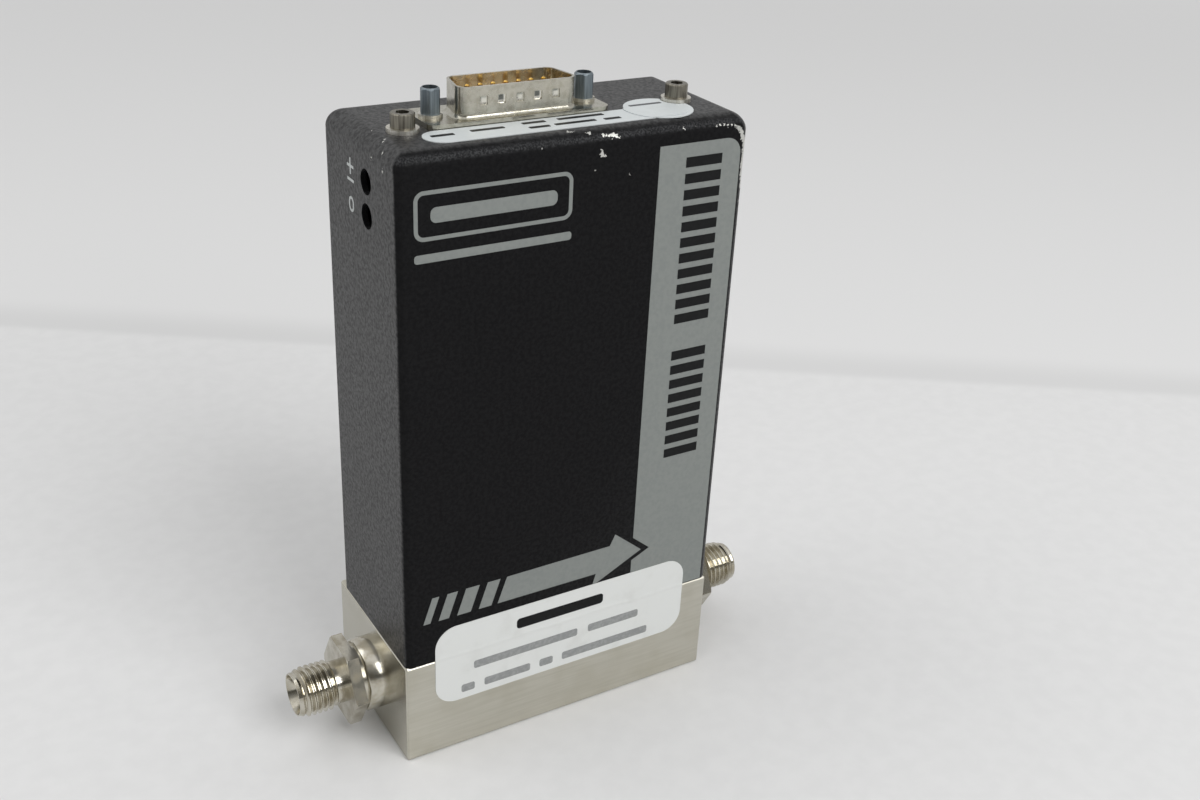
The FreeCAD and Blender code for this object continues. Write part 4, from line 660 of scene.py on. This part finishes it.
# The flow arrow, leaning forwards, with four bars of growing width behind it.
arrow = bmesh.new()
patch(arrow, [(-17.0, 35.3), (7.6, 35.3), (6.7, 32.2), (19.3, 38.4), (12.2, 44.4), (10.9, 41.7),
              (-14.8, 41.5)])
for left, width in ((-34.4, 1.6), (-30.9, 2.4), (-26.6, 3.2), (-21.5, 3.0)):
    bar(arrow, left, left + width, 35.3, 41.5, lean=0.34)
print_layer("flow_arrow", arrow, ON_FRONT, GREY_INK)

# A plain name panel left blank: a ruled frame, a bar in it and a line under it.
panel = bmesh.new()
patch(panel, [(-35.1, 120.4), (-2.2, 120.4), (-2.2, 130.0), (-35.1, 130.0)], 2.0, line_mm=0.8)
bar(panel, -31.8, -5.5, 123.7, 126.7, 1.2)
bar(panel, -35.1, -2.2, 116.2, 117.9, 0.6)
print_layer("name_panel", panel, ON_FRONT, GREY_INK)

# Graduations down the band, in two runs.
ladder = bmesh.new()
for top, count in ((129.5, 11), (87.0, 8)):
    for i in range(count):
        level = top - i * RUNG_PITCH
        bar(ladder, 23.6, 32.3, level - RUNG_HEIGHT, level)
print_layer("band_graduations", ladder, ON_BAND, BLACK_INK)

# Marks beside the two adjusters: more or less for the upper, nought for the lower.
marks = bmesh.new()
bar(marks, -4.4, -1.2, 128.75, 129.3)
bar(marks, -3.075, -2.525, 127.4, 128.75)
bar(marks, -3.075, -2.525, 129.3, 130.65)
bar(marks, -4.4, -1.2, 126.0, 126.55)
patch(marks, [(-4.0, 119.9), (-1.6, 119.9), (-1.6, 123.0), (-4.0, 123.0)], 1.19, line_mm=0.5)
print_layer("adjuster_marks", marks, ON_LEFT, MARK_INK)

# The seal across the joint, its face let down by a layer of ink so that print stays within the solid.
film_down = bmesh.new()
film_down.from_mesh(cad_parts["seal_label"].data)
bmesh.ops.remove_doubles(film_down, verts=film_down.verts, dist=SOLID_MERGE * MM)
outer = [v for v in film_down.verts if v.co.y < (FACE_Y - LABEL / 2) * MM]
bmesh.ops.translate(film_down, verts=outer, vec=(0, INK * MM, 0))
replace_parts(piece("seal_film", film_down, SEAL), "seal_label")

# Plain bars on the stickers.
seal_mark = bmesh.new()
bar(seal_mark, -12.2, 9.8, 26.9, 29.5, 0.8)
print_layer("seal_mark", seal_mark, ON_SEAL, BLACK_INK)
seal_lines = bmesh.new()
for left, right in ((-22.6, 3.4), (6.2, 19.6)):
    bar(seal_lines, left, right, 19.9, 21.9, 0.5)
for left, right in ((-25.6, -22.4), (-20.0, -8.6), (-6.2, -2.8), (-0.4, 22.4)):
    bar(seal_lines, left, right, 14.4, 16.4, 0.5)
print_layer("seal_lines", seal_lines, ON_SEAL, FADED_INK)

roof_print = bmesh.new()
for left, right, low in (
    (-27.9, -23.2, -11.2), (-19.6, -12.6, -10.7), (-8.4, -3.4, -9.9), (-0.6, 9.6, -9.7),
    (-8.4, -4.0, -12.9), (-2.8, 6.2, -12.7), (8.0, 11.7, -12.9),
):
    bar(roof_print, left, right, low, low + 1.15, 0.2)
print_layer("roof_print", roof_print, ON_LABEL, BLACK_INK)

ring_print = bmesh.new()
bar(ring_print, 17.6, 25.2, -6.4, -5.5, 0.2)
print_layer("round_print", ring_print, ON_LABEL, DIM_INK)


def threaded_fitting(name, node, side):
    """The fitting with its real thread: the solid's own faces, and a helix in place of the plain nose."""
    bm = bmesh.new()
    bm.from_mesh(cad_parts[node].data)
    bmesh.ops.scale(bm, vec=(1000, 1000, 1000), verts=bm.verts)
    bmesh.ops.translate(bm, vec=(0, -PORT_Y, -PORT_Z), verts=bm.verts)
    if side > 0:
        bmesh.ops.rotate(bm, cent=(0, 0, 0), matrix=Matrix.Rotation(math.pi, 3, "Z"), verts=bm.verts)
    bmesh.ops.translate(bm, vec=(BLOCK_END, 0, 0), verts=bm.verts)
    bmesh.ops.remove_doubles(bm, verts=bm.verts, dist=SOLID_MERGE)
    # Outwards is now -X, with the block's end at nought.
    plain = []
    for face in bm.faces:
        middle = face.calc_center_median()
        past_neck = middle.x < -THREAD_START - NOSE_GAP
        outside = math.hypot(middle.y, middle.z) > NOSE_R - NOSE_SKIN
        if past_neck and outside and abs(face.normal.x) < ENDWISE:
            plain.append(face)
    bmesh.ops.delete(bm, geom=plain, context="FACES")

    thread = bmesh.new()
    half_flat = THREAD_PITCH / 16
    rise = THREAD_PITCH / 2 - 2 * half_flat
    start = -THREAD_START + THREAD_PITCH
    turns = math.ceil((THREAD_TIP - THREAD_START) / THREAD_PITCH) + 2
    profile = [(0, THREAD_ROOT), (half_flat, THREAD_ROOT), (half_flat + rise, THREAD_CREST),
               (3 * half_flat + rise, THREAD_CREST), (3 * half_flat + 2 * rise, THREAD_ROOT),
               (THREAD_PITCH, THREAD_ROOT)]
    points = [thread.verts.new((start - along, 0, radius)) for along, radius in profile]
    edges = [thread.edges.new(pair) for pair in zip(points, points[1:])]
    bmesh.ops.spin(thread, geom=points + edges, cent=(0, 0, 0), axis=(-1, 0, 0),
                   dvec=(-THREAD_PITCH / THREAD_STEPS, 0, 0), angle=2 * math.pi * turns,
                   steps=THREAD_STEPS * turns, use_merge=False)
    bmesh.ops.remove_doubles(thread, verts=thread.verts, dist=THREAD_MERGE)
    for end, way in ((-THREAD_START, 1), (-THREAD_TIP, -1)):
        everything = thread.verts[:] + thread.edges[:] + thread.faces[:]
        bmesh.ops.bisect_plane(thread, geom=everything, dist=CUT_SNAP, plane_co=(end, 0, 0),
                               plane_no=(way, 0, 0), clear_outer=True)
    # The chamfers at both ends take the crests down to the neck and to the nose.
    for point in thread.verts:
        radius = math.hypot(point.co.y, point.co.z)
        at_nose = NOSE_R + (point.co.x + THREAD_TIP) * (THREAD_CREST - NOSE_R) / NOSE_LENGTH
        allowed = min(NECK_R - THREAD_START - point.co.x, at_nose, THREAD_CREST)
        if radius > allowed:
            bmesh.ops.scale(thread, vec=(1, allowed / radius, allowed / radius), verts=[point])
    bmesh.ops.recalc_face_normals(thread, faces=thread.faces)
    spare = bpy.data.meshes.new(name + "_thread")
    thread.to_mesh(spare)
    thread.free()
    bm.from_mesh(spare)
    bpy.data.meshes.remove(spare)

    bmesh.ops.translate(bm, vec=(-BLOCK_END, 0, 0), verts=bm.verts)
    if side > 0:
        bmesh.ops.rotate(bm, cent=(0, 0, 0), matrix=Matrix.Rotation(math.pi, 3, "Z"), verts=bm.verts)
    bmesh.ops.translate(bm, vec=(0, PORT_Y, PORT_Z), verts=bm.verts)
    bmesh.ops.scale(bm, vec=(MM, MM, MM), verts=bm.verts)
    made = piece(name, bm, TURNED)
    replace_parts(made, node)


threaded_fitting("inlet_fitting_threaded", "inlet_fitting", -1)
threaded_fitting("outlet_fitting_threaded", "outlet_fitting", 1)

# The table top, far wider than any view of the meter.
table = bmesh.new()
bmesh.ops.create_grid(table, x_segments=1, y_segments=1, size=TABLE_HALF)
table_mesh = bpy.data.meshes.new("table_top")
table.to_mesh(table_mesh)
table.free()
table_mesh.materials.append(table_sheet())
table_top = bpy.data.objects.new("table_top", table_mesh)
bpy.context.scene.collection.objects.link(table_top)


def soft_box(name, place, width, power):
    """A square soft box that faces the middle of the meter: its width in metres, its power in watts."""
    light = bpy.data.lights.new(name, "AREA")
    light.size = width
    light.energy = power
    lamp = bpy.data.objects.new(name, light)
    lamp.location = place
    lamp.rotation_euler = (Vector(MIDDLE) - Vector(place)).to_track_quat("-Z", "Y").to_euler()
    bpy.context.scene.collection.objects.link(lamp)


soft_box("left_soft_box", (-0.95, 0.35, 1.1), 1.0, 4.0)
soft_box("top_soft_box", (0.0, -0.1, 1.5), 1.6, 2.0)
soft_box("front_soft_box", (0.3, -1.15, 1.1), 0.9, 13.5)

world = bpy.data.worlds.new("studio")
world.use_nodes = True
room = world.node_tree.nodes["Background"]
# The room is pale overhead, behind and low down all round, and dim above that on the camera's side.
heading = add(world, "ShaderNodeTexCoord").outputs["Generated"]
facing = add(world, "ShaderNodeVectorMath", {0: heading, 1: PALE_WAY}, operation="DOT_PRODUCT")
facing = {0: facing.outputs["Value"], 1: PALE_FADE[0], 2: PALE_FADE[1]}
facing = add(world, "ShaderNodeMapRange", facing, interpolation_type=SMOOTH)
low = add(world, "ShaderNodeSeparateXYZ", {0: heading}).outputs["Z"]
low = {0: low, 1: LOW_BAND[0], 2: LOW_BAND[1], 3: 1.0, 4: 0.0}
low = add(world, "ShaderNodeMapRange", low, interpolation_type=SMOOTH)
pale = add(world, "ShaderNodeMath", {0: facing, 1: low}, operation="MAXIMUM")
tone = add(world, "ShaderNodeMix", {0: pale, 6: linear("5c5b56"), 7: linear("f0f0f0")}, data_type="RGBA")
connect(world, room, {"Color": tone, "Strength": ROOM_STRENGTH})
bpy.context.scene.world = world

# The camera stands where the photograph's did.
ahead = Vector((math.sin(YAW) * math.cos(PITCH), math.cos(YAW) * math.cos(PITCH), -math.sin(PITCH)))
level = Vector((math.cos(YAW), -math.sin(YAW), 0))
upright = level.cross(ahead)
right = math.cos(ROLL) * level + math.sin(ROLL) * upright
top = -math.sin(ROLL) * level + math.cos(ROLL) * upright
lens = bpy.data.cameras.new("photo_camera")
lens.sensor_width = SENSOR_WIDTH
lens.lens = FOCAL_PIXELS / PICTURE_WIDTH * SENSOR_WIDTH
lens.clip_start = NEAREST_SEEN
camera = bpy.data.objects.new("photo_camera", lens)
turn = Matrix((right, top, -ahead)).transposed().to_4x4()
camera.matrix_world = Matrix.Translation(CAMERA_SPOT) @ turn
bpy.context.scene.collection.objects.link(camera)
bpy.context.scene.camera = camera

bpy.context.scene.view_settings.view_transform = "Standard"
